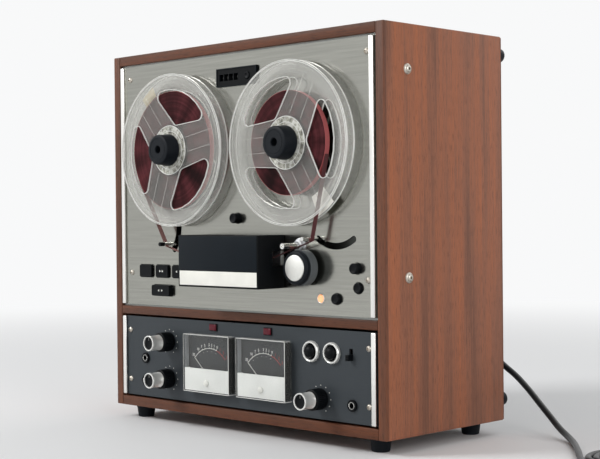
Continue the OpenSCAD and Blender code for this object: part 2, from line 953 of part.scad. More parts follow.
// A point on the smooth curve through four neighbouring route points
function blend(p, t) = 0.5 * (
    2 * p[1] + (p[2] - p[0]) * t + (2 * p[0] - 5 * p[1] + 4 * p[2] - p[3]) * t * t
    + (3 * p[1] - p[0] - 3 * p[2] + p[3]) * t * t * t
);
function unit(v) = v / norm(v);
function near(list, i) = list[max(0, min(len(list) - 1, i))];
function smooth_path(list, steps) = concat(
    [
        for (i = [0 : len(list) - 2], k = [0 : steps - 1])
            blend([near(list, i - 1), list[i], list[i + 1], near(list, i + 2)], k / steps)
    ],
    [list[len(list) - 1]]
);
function path_length(list) = summed([for (i = [1 : len(list) - 1]) norm(list[i] - list[i - 1])]);
function summed(list, i = 0) = i >= len(list) ? 0 : list[i] + summed(list, i + 1);

// One ring of points round the path at point i
function tube_ring(list, i, r, sides) =
    let (
        along = unit(near(list, i + 1) - near(list, i - 1)),
        across = unit(cross(along, [0, 0, 1])),
        up = cross(across, along)
    )
    [
        for (k = [0 : sides - 1])
            list[i] + r * (cos(360 * k / sides) * across + sin(360 * k / sides) * up)
    ];

// A closed tube of triangles along a path
module tube(list, r, sides) {
    n = len(list);
    rings = [for (i = [0 : n - 1]) each tube_ring(list, i, r, sides)];
    walls = [
        for (i = [0 : n - 2], k = [0 : sides - 1])
            let (a = i * sides + k, b = i * sides + (k + 1) % sides)
                each [[a, b, b + sides], [a, b + sides, a + sides]]
    ];
    first = [for (k = [1 : sides - 2]) [0, k + 1, k]];
    last = [for (k = [1 : sides - 2]) [(n - 1) * sides, (n - 1) * sides + k, (n - 1) * sides + k + 1]];
    polyhedron(points = rings, faces = concat(walls, first, last));
}

// Coil: turns wound inwards on the floor, a climb of half a turn, then turns wound outwards on top
coil_middle = coil_turns + 0.25;
function coil_radius(t) = coil_out - coil_pitch * (coil_middle - abs(t - coil_middle));
function coil_lift(t) = cord_low + layer_h * max(0, min(1, 2 * (t - coil_turns)));
function coil_point(t) = concat(
    coil_centre + coil_radius(t) * [cos(coil_start + 360 * t), sin(coil_start + 360 * t)],
    [coil_lift(t)]
);
coil_end_turn = 2 * coil_turns + 0.5;
coil_steps = coil_end_turn * coil_rings;
coil_turn_points = [for (i = [0 : coil_steps]) coil_point(i / coil_rings)];
coil_first = coil_turn_points[0];
coil_last = coil_turn_points[coil_steps];
lead_in = cord_dia * unit(coil_turn_points[1] - coil_first);
lead_out = cord_dia * unit(coil_last - coil_turn_points[coil_steps - 1]);
coil_path = concat([coil_first - lead_in], coil_turn_points, [coil_last + lead_out]);
cord_path = smooth_path(concat(route, [coil_first - 2 * lead_in, coil_first - lead_in]), 2);
// Least gap between neighbouring turns, measured between points at least a third of a turn apart
apart = coil_rings / 3;
coil_gap = min([
    for (i = [0 : coil_steps - apart])
        min([for (k = [i + apart : coil_steps]) norm(coil_turn_points[i] - coil_turn_points[k])])
]) - cord_dia;
echo(coil_gap = coil_gap);
echo(cord_length = path_length(cord_path) + path_length(coil_path));

module mains_cord() {
    color(black) tube(cord_path, cord_r, 10);
}

module mains_cord_coil() {
    color(black) tube(coil_path, cord_r, coil_sides);
}

// Two pin plug lying beside the coil
module mains_plug() {
    heading = atan2(lead_out[1], lead_out[0]);
    color(black)
        translate(coil_last + lead_out)
            rotate([0, 0, heading])
                rotate([0, 90, 0]) {
                    cylinder(r1 = cord_r + 1, r2 = plug_r - 2, h = 12);
                    translate([0, 0, 12])
                        cylinder(r = plug_r, h = plug_l - 12);
                    for (side = [-1, 1])
                        translate([0, 6.35 * side, plug_l])
                            cylinder(r = 1.6, h = 16);
                }
}

cabinet_sides();
cabinet_cross_boards();
rear_cover();
deck_plate();
amplifier_panel();
trim_strips();
screws();
feet();
head_cover();
head_block();
tape_run();
transport_chassis();
drive_motors();
power_transformer();
amplifier_board();
meter_cases();
meter_covers();
indicator_lamps();
sockets_and_bezels();
counter_case();
cord_strain_relief();
mains_cord();
mains_cord_coil();
mains_plug();
reel(-1, left_windows);  // left_reel
tape_pack(-1, left_pack_dia);  // left_tape_pack
reel_table(-1);  // left_reel_table
hub_cap(-1);  // left_hub_cap
reel(1, right_windows);  // right_reel
tape_pack(1, right_pack_dia);  // right_tape_pack
reel_table(1);  // right_reel_table
hub_cap(1);  // right_hub_cap
capstan_flywheel();
motor_pulley();
drive_belt();
pinch_arm();
pinch_roller();
left_tension_arm();
right_tension_arm();
key_cap([key_x[0], key_z], key_w, key_h, key_out);  // key_1
key_cap([key_x[1], key_z], key_w, key_h, key_out);  // key_2
key_cap([key_x[2], key_z], key_w, key_h, key_out);  // key_3
key_cap([key_x[1], stop_z], stop_w, stop_h, stop_out);  // stop_key
counter_reset_button();
counter_units_wheel();
push_button(power_pos, power_out);  // power_button
push_button(speed_pos, speed_out);  // speed_button
push_button(repeat_pos, repeat_out);  // repeat_button
push_button(mode_pos, mode_out);  // mode_button
knob_front(knob_pos[0]);  // line_knob_front
knob_rear(knob_pos[0]);  // line_knob_rear
knob_front(knob_pos[1]);  // mic_knob_front
knob_rear(knob_pos[1]);  // mic_knob_rear
knob_front(knob_pos[2]);  // output_knob_front
knob_rear(knob_pos[2]);  // output_knob_rear
select_button(select_x[0]);  // left_select_button
select_button(select_x[1]);  // right_select_button
monitor_switch();
meter_needle(-1);  // left_meter_needle
meter_needle(1);  // right_meter_needle
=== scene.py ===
import math

import bmesh
import bpy
from bpy.props import FloatProperty, FloatVectorProperty, IntProperty, PointerProperty
from mathutils import Matrix, Vector


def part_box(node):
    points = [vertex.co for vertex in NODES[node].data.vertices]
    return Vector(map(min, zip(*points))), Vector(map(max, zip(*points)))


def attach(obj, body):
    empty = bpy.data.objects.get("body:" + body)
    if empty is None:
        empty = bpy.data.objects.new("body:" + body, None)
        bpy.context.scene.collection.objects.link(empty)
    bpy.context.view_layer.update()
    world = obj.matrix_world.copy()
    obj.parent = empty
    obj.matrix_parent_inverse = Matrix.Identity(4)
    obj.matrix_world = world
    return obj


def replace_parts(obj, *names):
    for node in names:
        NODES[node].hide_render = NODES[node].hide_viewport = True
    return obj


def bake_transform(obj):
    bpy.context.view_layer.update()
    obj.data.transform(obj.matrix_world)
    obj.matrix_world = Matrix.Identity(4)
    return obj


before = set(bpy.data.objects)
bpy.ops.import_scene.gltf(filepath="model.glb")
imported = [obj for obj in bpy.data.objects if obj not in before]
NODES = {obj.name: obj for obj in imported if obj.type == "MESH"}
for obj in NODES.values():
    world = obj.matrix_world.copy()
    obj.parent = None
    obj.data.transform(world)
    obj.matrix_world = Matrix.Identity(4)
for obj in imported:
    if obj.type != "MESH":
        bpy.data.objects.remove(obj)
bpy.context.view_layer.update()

bl_info = {
    "name": "Tape deck dressing",
    "version": (1, 0, 0),
    "blender": (4, 5, 0),
    "location": "3D View > Sidebar > Tape deck",
    "description": "Finishes, small parts and the mains lead of an upright tape deck",
    "category": "Object",
}

MM = 0.001
# Points nearer to each other than this, in metres, are one point
SAME_POINT = 1e-6
# Front plane and bottom of the wooden sleeve, and depth of the rear cover's outside in mm
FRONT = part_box("cabinet_sides")[0].y
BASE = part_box("cabinet_sides")[0].z
REAR = (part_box("rear_cover")[1].y - FRONT) / MM
# Tape: thickness and width, distance from what it passes, and depth of its middle
TAPE_THICK = 0.15
TAPE_WIDE = 6.3
TAPE_STAND = 0.7
TAPE_DEPTH = -11
# Radius of the disc that ends a tension arm, of its rod, of a tape guide and of the capstan
ARM_END = 4.8
ROD_R = 2.2
GUIDE_R = 3
CAPSTAN_R = 3.1
# Places of the two tape guides, across and up
GUIDES = ((-49, 184.4), (52, 184.4))
# First spoke of each reel in degrees from +X, and its paper label: angle, half width and radii
SPOKES = {"left": 10, "right": 302}
LABELS = {"left": (126.5, 8, (75.5, 88)), "right": (304.5, 9, (65, 88))}
# Depth of the front flange's face and of the labels
FLANGE_FACE = -17.2
LABEL_DEPTH = -6.5
# Tape counter: units wheel across, height, depth and pitch of the wheels, radius of their digits
COUNTER_UNITS = 2.1
COUNTER_Z = 389.6
COUNTER_AXIS = 9.7
COUNTER_PITCH = 8.1
COUNTER_R = 6.82
# Meters: middle across, half width, height of the needle's pivot, radius of the scale, its ends from +X
METERS = {"left": -45.2, "right": 45.2}
METER_HALF = 39.25
PIVOT_Z = 45
SCALE_R = 34.3
SCALE_ENDS = (138, 42)
# Where the scale turns red, as a share of its length, and its numbers
SCALE_ZERO = 0.7
SCALE_NUMBERS = (
    ("20", 0), ("10", 0.16), ("7", 0.27), ("5", 0.36), ("3", 0.48), ("2", 0.55), ("1", 0.62),
    ("0", SCALE_ZERO), ("1", 0.79), ("2", 0.89), ("3", 1),
)
# Backdrop: its colour, its brightness as seen, and as light on the deck
BACKDROP = (0.96, 0.965, 0.97)
BACKDROP_SEEN = 0.98
BACKDROP_LIGHT = 0.42
# Route of the mains lead in mm, as in the part's source, and its height on the floor
CORD_LOW = 3.6
LEAD_ROUTE = (
    (150, 142, 90), (151, 153, 89), (156, 163, 86), (166, 170, 80), (184, 171, 68),
    (203, 167, 58), (226, 157, 46), (248, 147, 33), (269, 137, 21), (288, 127, 11),
    (309, 113, 5), (330, 91, CORD_LOW), (352, 63, CORD_LOW), (377, 29, CORD_LOW),
    (394, 7, CORD_LOW),
)
# Coil of the lead: centre, outer radius, gap between turns, turns in a layer, first angle, points to a turn
COIL_CENTRE = (450, 15)
COIL_OUT = 49.75
COIL_GAP = 0.5
COIL_TURNS = 3
COIL_START = 218
COIL_STEPS = 48


def spot(x, depth, z):
    """A point from mm across, behind the sleeve's front and above its bottom."""
    return Vector((x * MM, FRONT + depth * MM, BASE + z * MM))


def middle(node):
    """The middle of a CAD node's box."""
    low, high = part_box(node)
    return (low + high) / 2


def on_front(node):
    """The middle of a CAD node's box, moved to the sleeve's front plane."""
    where = middle(node)
    where.y = FRONT
    return where


def spans(node):
    """A CAD node's ranges in mm across, up, and behind the sleeve's front."""
    low, high = ((corner - spot(0, 0, 0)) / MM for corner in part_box(node))
    return (low.x, high.x), (low.z, high.z), (low.y, high.y)


def half_width(node):
    """Half of a CAD node's width in mm."""
    left, right = spans(node)[0]
    return (right - left) / 2


def around(centre, half):
    """The range from half below centre to half above it."""
    return centre - half, centre + half


def within(span, margin):
    """A range drawn in by a margin at both ends."""
    return span[0] + margin, span[1] - margin


def srgb(red, green, blue):
    """A colour as seen on screen, as the linear values that a socket takes."""
    def linear(value):
        value /= 255
        return value / 12.92 if value <= 0.04045 else ((value + 0.055) / 1.055) ** 2.4
    return tuple(linear(value) for value in (red, green, blue))


def colour(name, description, default):
    """A colour that a user may change."""
    return FloatVectorProperty(
        name=name, description=description, subtype="COLOR", size=3, min=0, max=1, default=default
    )


def length(name, description, millimetres):
    """A length that a user may change."""
    return FloatProperty(name=name, description=description, unit="LENGTH", min=0, default=millimetres * MM)


def bearing(name, description, degrees):
    """An angle that a user may change."""
    return FloatProperty(name=name, description=description, subtype="ANGLE", default=math.radians(degrees))


class DeckColours(bpy.types.PropertyGroup):
    """Colours of the deck's finishes"""

    wood: colour("Veneer", "Middle tone of the wooden sleeve", srgb(143, 93, 71))
    wood_dark: colour("Veneer grain", "Dark streaks in the veneer", srgb(115, 78, 62))
    wood_pale: colour("Veneer figure", "Pale bands in the veneer", srgb(164, 99, 68))
    aluminium: colour("Transport panel", "Brushed aluminium", srgb(158, 158, 151))
    slate: colour("Amplifier panel", "Dark satin panel", srgb(58, 63, 67))
    black: colour("Black mouldings", "Keys, buttons and the head cover", srgb(8, 11, 14))
    rubber: colour("Rubber", "Hub caps, feet and bumpers", srgb(11, 16, 22))
    tape: colour("Tape", "Edge of the wound tape", srgb(58, 25, 28))
    clear: colour("Clear mouldings", "Reels and meter covers", srgb(214, 214, 208))
    ivory: colour("Blank plate", "Plain band on the head cover and the reel labels", srgb(238, 237, 229))
    dial: colour("Dial", "Upper part of a meter's dial", srgb(46, 49, 53))
    amber: colour("Power lamp", "Lit lens of the power lamp", srgb(255, 190, 140))
    red: colour("Record lamp", "Unlit lens of a record lamp", srgb(88, 4, 26))


class DeckSizes(bpy.types.PropertyGroup):
    """Sizes of the details that are added to the frame"""

    board_edge: length("Board edge", "Rounding of the wooden boards", 1.2)
    key_corner: length("Key corner", "Rounding of a key's corners", 2.2)
    lead: length("Lead", "Diameter of the mains lead", 7)
    knurls: IntProperty(
        name="Knurls", description="Grooves round the rear half of a knob", default=40, min=12
    )


class DeckView(bpy.types.PropertyGroup):
    """Where the photograph was taken from"""

    place: FloatVectorProperty(
        name="Place", description="Camera position", subtype="TRANSLATION", unit="LENGTH",
        default=(1.12776, -1.12828, 0.24517),
    )
    azimuth: bearing("Azimuth", "Turn from the front to the right", 44.57)
    elevation: bearing("Elevation", "Tilt from level", 0.51)
    roll: bearing("Roll", "Lean of the camera", -0.549)
    lens: FloatProperty(
        name="Lens", description="Focal length in mm on a 36 mm wide frame", default=81.33, min=1
    )


class Signal:
    """A value in a material that takes part in Python sums."""

    def __init__(self, finish, socket):
        self.finish = finish
        self.socket = socket

    def _sum(self, operation, first, second):
        return self.finish.node("ShaderNodeMath", {"operation": operation}, {0: first, 1: second})

    def __add__(self, other):
        return self._sum("ADD", self, other)

    __radd__ = __add__

    def __sub__(self, other):
        return self._sum("SUBTRACT", self, other)

    def __rsub__(self, other):
        return self._sum("SUBTRACT", other, self)

    def __mul__(self, other):
        return self._sum("MULTIPLY", self, other)

    __rmul__ = __mul__

    def __pow__(self, other):
        return self._sum("POWER", self, other)

    def above(self, other):
        return self._sum("GREATER_THAN", self, other)


class Finish:
    """A node tree being built, of a material or of the world."""

    def __init__(self, owner):
        owner.use_nodes = True
        self.tree = owner.node_tree

    def node(self, kind, settings=None, inputs=None, output=0):
        """Adds a node with its settings and the values or links of its sockets."""
        node = self.tree.nodes.new(kind)
        for name, value in (settings or {}).items():
            if name == "stops":
                self._stops(node.color_ramp.elements, value)
            else:
                setattr(node, name, value)
        for key, value in (inputs or {}).items():
            self.feed(node.inputs[key], value)
        return Signal(self, node.outputs[output])

    def _stops(self, elements, stops):
        while len(elements) < len(stops):
            elements.new(1)
        for element, (share, tone) in zip(elements, stops):
            element.position = share
            element.color = (*tone, 1)

    def feed(self, socket, value):
        """Links a signal to a socket, or sets a plain value on it."""
        if isinstance(value, Signal):
            self.tree.links.new(value.socket, socket)
        elif socket.type == "RGBA":
            socket.default_value = (*value[:3], 1)
        else:
            socket.default_value = value

    def surface(self, values):
        """Feeds the Principled shader's sockets by name."""
        shader = self.tree.nodes["Principled BSDF"]
        for name, value in values.items():
            self.feed(shader.inputs[name], value)


def finish(build, *values, name=None):
    """The material that a finish function builds, made the first time it is asked for."""
    name = name or build.__name__
    material = bpy.data.materials.get(name)
    if material is None:
        material = bpy.data.materials.new(name)
        build(Finish(material), *values)
    return material


def colours():
    return bpy.context.scene.deck_colours


def sizes():
    return bpy.context.scene.deck_sizes


def dimmed(tone, share):
    return tuple(channel * share for channel in tone)


def pattern(f, grain, centre=(0, 0, 0)):
    """Object coordinates measured from centre, in units of the grain's size along each axis."""
    place = f.node("ShaderNodeTexCoord", output=3)
    values = {"Vector": place, "Location": centre, "Scale": grain}
    return f.node("ShaderNodeMapping", {"vector_type": "TEXTURE"}, values)


def noise_at(f, vector, detail, scale=1.0):
    return f.node("ShaderNodeTexNoise", None, {"Vector": vector, "Scale": scale, "Detail": detail})


def noise(f, grain, detail):
    return noise_at(f, pattern(f, grain), detail)


def ramp(f, share, *stops):
    return f.node("ShaderNodeValToRGB", {"stops": stops}, {"Fac": share})


def eased(f, value, low, high):
    """Zero below low and one above high, with a smooth change between."""
    values = {"Value": value, "From Min": low, "From Max": high}
    return f.node("ShaderNodeMapRange", {"interpolation_type": "SMOOTHSTEP"}, values)


def mixed(f, share, first, second):
    return f.node("ShaderNodeMix", {"data_type": "RGBA"}, {0: share, 6: first, 7: second}, output=2)


def bump(f, height, depth, strength=1.0):
    return f.node("ShaderNodeBump", None, {"Strength": strength, "Distance": depth, "Height": height})


def from_axis(f, centre):
    """Distance in mm from a line along Y through centre."""
    place = pattern(f, (MM, MM, MM), centre)
    across = f.node("ShaderNodeSeparateXYZ", None, {0: place}, output=0)
    up = f.node("ShaderNodeSeparateXYZ", None, {0: place}, output=2)
    return (across * across + up * up) ** 0.5


def veneer(f, along, shade):
    """Satin veneer with bands, streaks and open pores along one axis; shade darkens all its tones, as
    painted shade for faces that get less light.
    """
    def stretched(across, length_along):
        grain = [across] * 3
        grain[along] = length_along
        return grain
    tones = colours()
    streaks = noise(f, stretched(0.0022, 0.16), 4)
    bands = noise(f, stretched(0.024, 0.5), 3)
    pores = noise(f, stretched(0.0007, 0.013), 1)
    body = ramp(
        f, streaks * 0.32 + bands * 0.68,
        (0.36, dimmed(tones.wood_dark, shade)),
        (0.5, dimmed(tones.wood, shade)),
        (0.64, dimmed(tones.wood_pale, shade)),
    )
    open_pores = pores.above(0.59)
    f.surface({
        "Base Color": mixed(f, open_pores * 0.45, body, dimmed(tones.wood_dark, 0.6 * shade)),
        "Roughness": 0.4 + streaks * 0.12,
        "Specular IOR Level": 0.2,
        "Normal": bump(f, streaks - open_pores * 0.5, 0.00015, 0.5),
    })


def veneer_upright():
    return finish(veneer, 2, 1.0, name="veneer_upright")


# Rails and the top and bottom boards at 0.38 of the veneer's tone: painted shade, as their front faces get
# less light.
def veneer_level():
    return finish(veneer, 0, 0.38, name="veneer_level")


# Front and rear lippings of the side boards at 0.56 of the veneer's tone: painted shade on the boards'
# edges.
def veneer_lipping():
    return finish(veneer, 2, 0.56, name="veneer_lipping")


def brushed_panel(f):
    """Transport panel, brushed from side to side."""
    tone = colours().aluminium
    lines = noise(f, (0.05, 0.00035, 0.00035), 3)
    haze = noise(f, (0.09, 0.0022, 0.0022), 4)
    f.surface({
        "Base Color": mixed(f, lines * 0.5 + haze * 0.5, dimmed(tone, 0.7), dimmed(tone, 1.3)),
        "Metallic": 1.0,
        "Roughness": 0.12 + haze * 0.16,
        "Normal": bump(f, lines, 0.00002, 0.3),
    })


def slate_panel(f):
    """Dark anodised panel with a fine sideways grain."""
    tone = colours().slate
    lines = noise(f, (0.04, 0.0004, 0.0004), 2)
    f.surface({
        "Base Color": mixed(f, lines, dimmed(tone, 0.85), dimmed(tone, 1.15)),
        "Metallic": 0.3,
        "Specular IOR Level": 0.3,
        "Roughness": 0.42 + lines * 0.14,
        "Normal": bump(f, lines, 0.00004, 0.3),
    })


def metal(f, tone, rough, grain, bare=1.0):
    """Bare or plated metal with fine scuffs; a satin coat is less than all bare."""
    scuffs = noise(f, grain, 3)
    f.surface({
        "Base Color": mixed(f, scuffs, dimmed(tone, 0.88), tone),
        "Metallic": bare,
        "Roughness": rough + scuffs * 0.12,
        "Normal": bump(f, scuffs, 0.00003, 0.25),
    })


def nickel():
    return finish(metal, srgb(222, 222, 216), 0.1, (0.004, 0.004, 0.004), name="nickel")


def trim_metal():
    return finish(metal, srgb(245, 244, 240), 0.22, (0.0004, 0.0004, 0.06), name="trim_metal")


def knob_metal():
    return finish(metal, srgb(246, 246, 242), 0.16, (0.0005, 0.03, 0.0005), 0.55, name="knob_metal")


def screw_metal():
    return finish(metal, srgb(200, 193, 182), 0.3, (0.002, 0.002, 0.002), name="screw_metal")


def steel():
    return finish(metal, srgb(150, 152, 154), 0.3, (0.003, 0.02, 0.003), name="steel")


def zinc():
    return finish(metal, srgb(158, 160, 156), 0.42, (0.012, 0.012, 0.012), name="zinc")


def brass():
    return finish(metal, srgb(205, 180, 120), 0.25, (0.003, 0.003, 0.003), name="brass")


def disc_metal():
    return finish(metal, srgb(228, 228, 223), 0.42, (0.003, 0.003, 0.003), name="disc_metal")


def moulding(f, tone, rough, grain, depth, shine=0.1):
    """Moulded plastic or rubber with a fine grain and faint dust."""
    speck = noise(f, (grain, grain, grain), 3)
    dust = noise(f, (0.03, 0.03, 0.03), 4)
    f.surface({
        "Base Color": mixed(f, dust, dimmed(tone, 0.86), dimmed(tone, 1.2)),
        "Roughness": rough + dust * 0.12,
        "Specular IOR Level": shine,
        "Normal": bump(f, speck, depth, 0.35),
    })


def black_satin():
    return finish(moulding, colours().black, 0.38, 0.0006, 0.00006, name="black_satin")


def black_matt():
    return finish(moulding, dimmed(colours().black, 0.75), 0.5, 0.0008, 0.0001, name="black_matt")


def fascia_slate():
    return finish(moulding, srgb(15, 22, 28), 0.36, 0.0005, 0.00005, name="fascia_slate")


def rubber():
    return finish(moulding, colours().rubber, 0.5, 0.0012, 0.00012, 0.16, name="rubber")


def lead_jacket():
    return finish(moulding, srgb(24, 24, 26), 0.34, 0.003, 0.0001, 0.3, name="lead_jacket")


def rear_board():
    return finish(moulding, srgb(46, 44, 44), 0.62, 0.0016, 0.0003, name="rear_board")


def ivory_plate():
    return finish(moulding, colours().ivory, 0.45, 0.002, 0.00003, name="ivory_plate")


def dial_grey():
    return finish(moulding, colours().dial, 0.5, 0.001, 0.00003, name="dial_grey")


def dial_silver():
    return finish(moulding, srgb(228, 230, 226), 0.4, 0.0012, 0.00003, name="dial_silver")


# Grey for the lit left wall of a meter's dial: painted light.
def wall_grey():
    return finish(moulding, srgb(140, 144, 146), 0.35, 0.001, 0.00003, name="wall_grey")


def print_white():
    return finish(moulding, srgb(228, 228, 222), 0.5, 0.001, 0.00001, name="print_white")


# Grey print on the knobs, and the counter's digits darkened to grey as painted shade.
def print_grey():
    return finish(moulding, srgb(150, 150, 146), 0.5, 0.001, 0.00001, name="print_grey")


def print_red():
    return finish(moulding, srgb(158, 58, 56), 0.5, 0.001, 0.00001, name="print_red")


def socket_red():
    return finish(moulding, srgb(150, 30, 28), 0.4, 0.001, 0.00005, name="socket_red")


def circuit_green():
    return finish(moulding, srgb(48, 92, 58), 0.45, 0.004, 0.0001, name="circuit_green")


def core_varnish():
    return finish(moulding, srgb(104, 92, 72), 0.4, 0.0008, 0.0003, name="core_varnish")


def motor_paint():
    return finish(moulding, srgb(58, 60, 63), 0.45, 0.0015, 0.0001, name="motor_paint")


def lens(f, tone, glow):
    """Coloured lens of a lamp with a soft cloud inside."""
    cloud = noise(f, (0.004, 0.004, 0.004), 2)
    f.surface({
        "Base Color": mixed(f, cloud, dimmed(tone, 0.8), tone),
        "Roughness": 0.16 + cloud * 0.08,
        "Coat Weight": 0.15,
        "Specular IOR Level": 0.2,
        "Emission Color": mixed(f, cloud, dimmed(tone, 0.8), tone),
        "Emission Strength": glow,
    })


def amber_lens():
    return finish(lens, colours().amber, 0.75, name="amber_lens")


# The record lamps are unlit; the faint glow of their lenses is painted light.
def red_lens():
    return finish(lens, colours().red, 0.1, name="red_lens")


def clear(f, tone, solid, rough):
    """Clear plastic with a light haze of handling marks."""
    haze = noise(f, (0.02, 0.02, 0.02), 4)
    f.surface({
        "Base Color": mixed(f, haze, dimmed(tone, 0.9), tone),
        "Alpha": solid * 0.8 + haze * (solid * 0.4),
        "Roughness": rough + haze * 0.1,
        "Coat Weight": 0.5,
    })


def reel_plastic(f, centre):
    """Clear plastic of the flanges, more solid and so paler towards the rim: a painted highlight there."""
    rim_highlight = eased(f, from_axis(f, centre), 68.0, 80.0)
    clear(f, colours().clear, 0.12 + rim_highlight * 0.1, 0.08)


# Near-white, nearly solid clear plastic: painted highlight on cut edges, rims, hub ribs and meter cover
# edges.
def reel_edge():
    return finish(clear, srgb(250, 250, 246), 0.9, 0.2, name="reel_edge")


# Faint near-white clear plastic: painted highlight on the reels' moulded rings and ridges and on the meter
# covers' dull edges.
def reel_step():
    return finish(clear, srgb(246, 246, 240), 0.3, 0.15, name="reel_step")


def hub_milk(f):
    """Milky clear hub with random bright and dull patches; the bright ones are painted highlights."""
    patches = noise(f, (0.005, 0.005, 0.005), 3)
    dull = srgb(132, 130, 120)
    milky = srgb(190, 189, 174)
    bright = srgb(240, 240, 232)
    f.surface({
        "Base Color": ramp(f, patches, (0.36, dull), (0.5, milky), (0.62, bright)),
        "Alpha": 0.5 + patches * 0.5,
        "Roughness": 0.1 + patches * 0.2,
        "Normal": bump(f, patches, 0.0004, 0.5),
    })


def faded_paper():
    return finish(clear, srgb(224, 211, 172), 0.5, 0.4, name="faded_paper")


def cover_clear():
    return finish(clear, colours().clear, 0.05, 0.04, name="cover_clear")


def wound_tape(f, centre, outer):
    """Wound tape: fine rings on its edge with fans of painted sheen, and a last turn and outside in a
    lighter red that is painted light on the tape's back.
    """
    tone = colours().tape
    radius = from_axis(f, centre)
    fine = noise_at(f, f.node("ShaderNodeCombineXYZ", None, {0: radius * 2.2}), 3.0)
    broad = noise_at(f, f.node("ShaderNodeCombineXYZ", None, {0: radius * 0.22, 1: 7.0}), 2.0)
    place = pattern(f, (MM, MM, MM), centre)
    heading = f.node("ShaderNodeVectorMath", {"operation": "NORMALIZE"}, {0: place})
    # Fans of painted sheen that change with the heading round the axis.
    sheen_fans = noise_at(f, heading, 3.0, 2.4)
    edge = ramp(
        f, fine * 0.25 + broad * 0.25 + sheen_fans * 0.5,
        (0.4, dimmed(tone, 0.25)), (0.5, dimmed(tone, 0.95)), (0.6, dimmed(tone, 2.4)),
    )
    facing = f.node("ShaderNodeTexCoord", output=1)
    depthwise = f.node("ShaderNodeSeparateXYZ", None, {0: facing}, output=1)
    # The outside and the last turn get a lighter red than the tape's back: painted light from the side.
    outside = 1 - (depthwise * depthwise).above(0.5) * (1 - radius.above(outer - 0.3))
    f.surface({
        "Base Color": mixed(f, outside, edge, srgb(176, 94, 95)),
        "Roughness": 0.34 + fine * 0.16,
        "Specular IOR Level": 0.05,
        "Normal": bump(f, fine, 0.0002, 0.5),
    })


def tape_back():
    return finish(moulding, srgb(92, 56, 58), 0.3, 0.01, 0.00003, name="tape_back")


def tape_coating():
    return finish(moulding, srgb(154, 114, 110), 0.3, 0.01, 0.00003, name="tape_coating")


def grooved_rubber(f):
    """Worn grey rubber with fine grooves round it."""
    rings = noise(f, (0.05, 0.0009, 0.05), 2)
    f.surface({
        "Base Color": mixed(f, rings, srgb(60, 64, 66), srgb(102, 106, 108)),
        "Roughness": 0.45 + rings * 0.12,
        "Specular IOR Level": 0.2,
        "Normal": bump(f, rings, 0.0003, 0.5),
    })


def select_nothing():
    if bpy.context.mode != "OBJECT":
        bpy.ops.object.mode_set(mode="OBJECT")
    bpy.ops.object.select_all(action="DESELECT")


def only(obj):
    """Makes obj the one selected and active object."""
    select_nothing()
    obj.select_set(True)
    bpy.context.view_layer.objects.active = obj


def named(obj, name):
    """Names an object and its mesh alike."""
    obj.name = name
    obj.data.name = name
    return obj


def settle(obj):
    """Puts an object's place and turn into its mesh."""
    only(obj)
    bpy.ops.object.transform_apply(location=True, rotation=True, scale=True)
    return obj


def begin(add, name, **values):
    """Adds a primitive with nothing else selected, and names it."""
    select_nothing()
    add(**values)
    return named(bpy.context.object, name)


class Editing:
    """Edit mode on one object, with parts of it picked by place or normal."""

    def __init__(self, obj):
        self.obj = obj

    def __enter__(self):
        only(self.obj)
        bpy.ops.object.mode_set(mode="EDIT")
        self.everything()
        return self

    def __exit__(self, *error):
        bpy.ops.object.mode_set(mode="OBJECT")

    def everything(self):
        bpy.ops.mesh.select_all(action="SELECT")

    def clean(self):
        """Merges doubles and points the faces outwards."""
        self.everything()
        bpy.ops.mesh.remove_doubles(threshold=SAME_POINT)
        bpy.ops.mesh.normals_make_consistent(inside=False)

    def pick(self, kind, test):
        """Selects the vertices, edges or faces that pass the test."""
        bpy.ops.mesh.select_mode(type=kind)
        bpy.ops.mesh.select_all(action="DESELECT")
        mesh = bmesh.from_edit_mesh(self.obj.data)
        for item in {"VERT": mesh.verts, "EDGE": mesh.edges, "FACE": mesh.faces}[kind]:
            if test(item):
                item.select_set(True)
        mesh.select_flush_mode()
        bmesh.update_edit_mesh(self.obj.data)


def runs_along(axis):
    """Test for edges that run along one axis."""
    def test(edge):
        step = edge.verts[1].co - edge.verts[0].co
        return abs(step[axis]) > 0.99 * step.length
    return test


def faces_front(face):
    return face.normal.y < -0.99


def modify(obj, kind, **settings):
    """Adds a modifier and applies it."""
    only(obj)
    modifier = obj.modifiers.new(kind.title(), kind)
    for name, value in settings.items():
        setattr(modifier, name, value)
    bpy.ops.object.modifier_apply(modifier=modifier.name)


def cut(obj, *cutters):
    """Takes the cutters away from obj and removes them."""
    for cutter in cutters:
        modify(obj, "BOOLEAN", operation="DIFFERENCE", object=cutter, solver="EXACT")
        bpy.data.objects.remove(cutter)


def copied(obj, name, shift=(0, 0, 0), turn=(0, 0, 0)):
    """A copy of obj with a mesh of its own, turned and moved."""
    only(obj)
    bpy.ops.object.duplicate(linked=False)
    twin = named(bpy.context.object, name)
    twin.rotation_euler = turn
    twin.location = Vector(shift)
    return settle(twin)


def spread(model, places, turn=(0, 0, 0)):
    """Copies of a piece at several places, numbered from one; the model itself goes."""
    pieces = [copied(model, f"{model.name}_{i + 1}", where, turn) for i, where in enumerate(places)]
    bpy.data.objects.remove(model)
    return pieces


def joined(name, parts):
    """Several meshes as one piece."""
    select_nothing()
    for part in parts:
        part.select_set(True)
    bpy.context.view_layer.objects.active = parts[0]
    bpy.ops.object.join()
    return named(bpy.context.object, name)


def place(obj, material, body, slot, *nodes, smooth=35):
    """Settles a finished piece at the origin, gives it its finish and sets it on its body."""
    settle(obj)
    obj.data.materials.clear()
    obj.data.materials.append(material)
    bpy.ops.object.shade_smooth_by_angle(angle=math.radians(smooth))
    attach(obj, body)
    if nodes:
        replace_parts(obj, *nodes)
    return obj


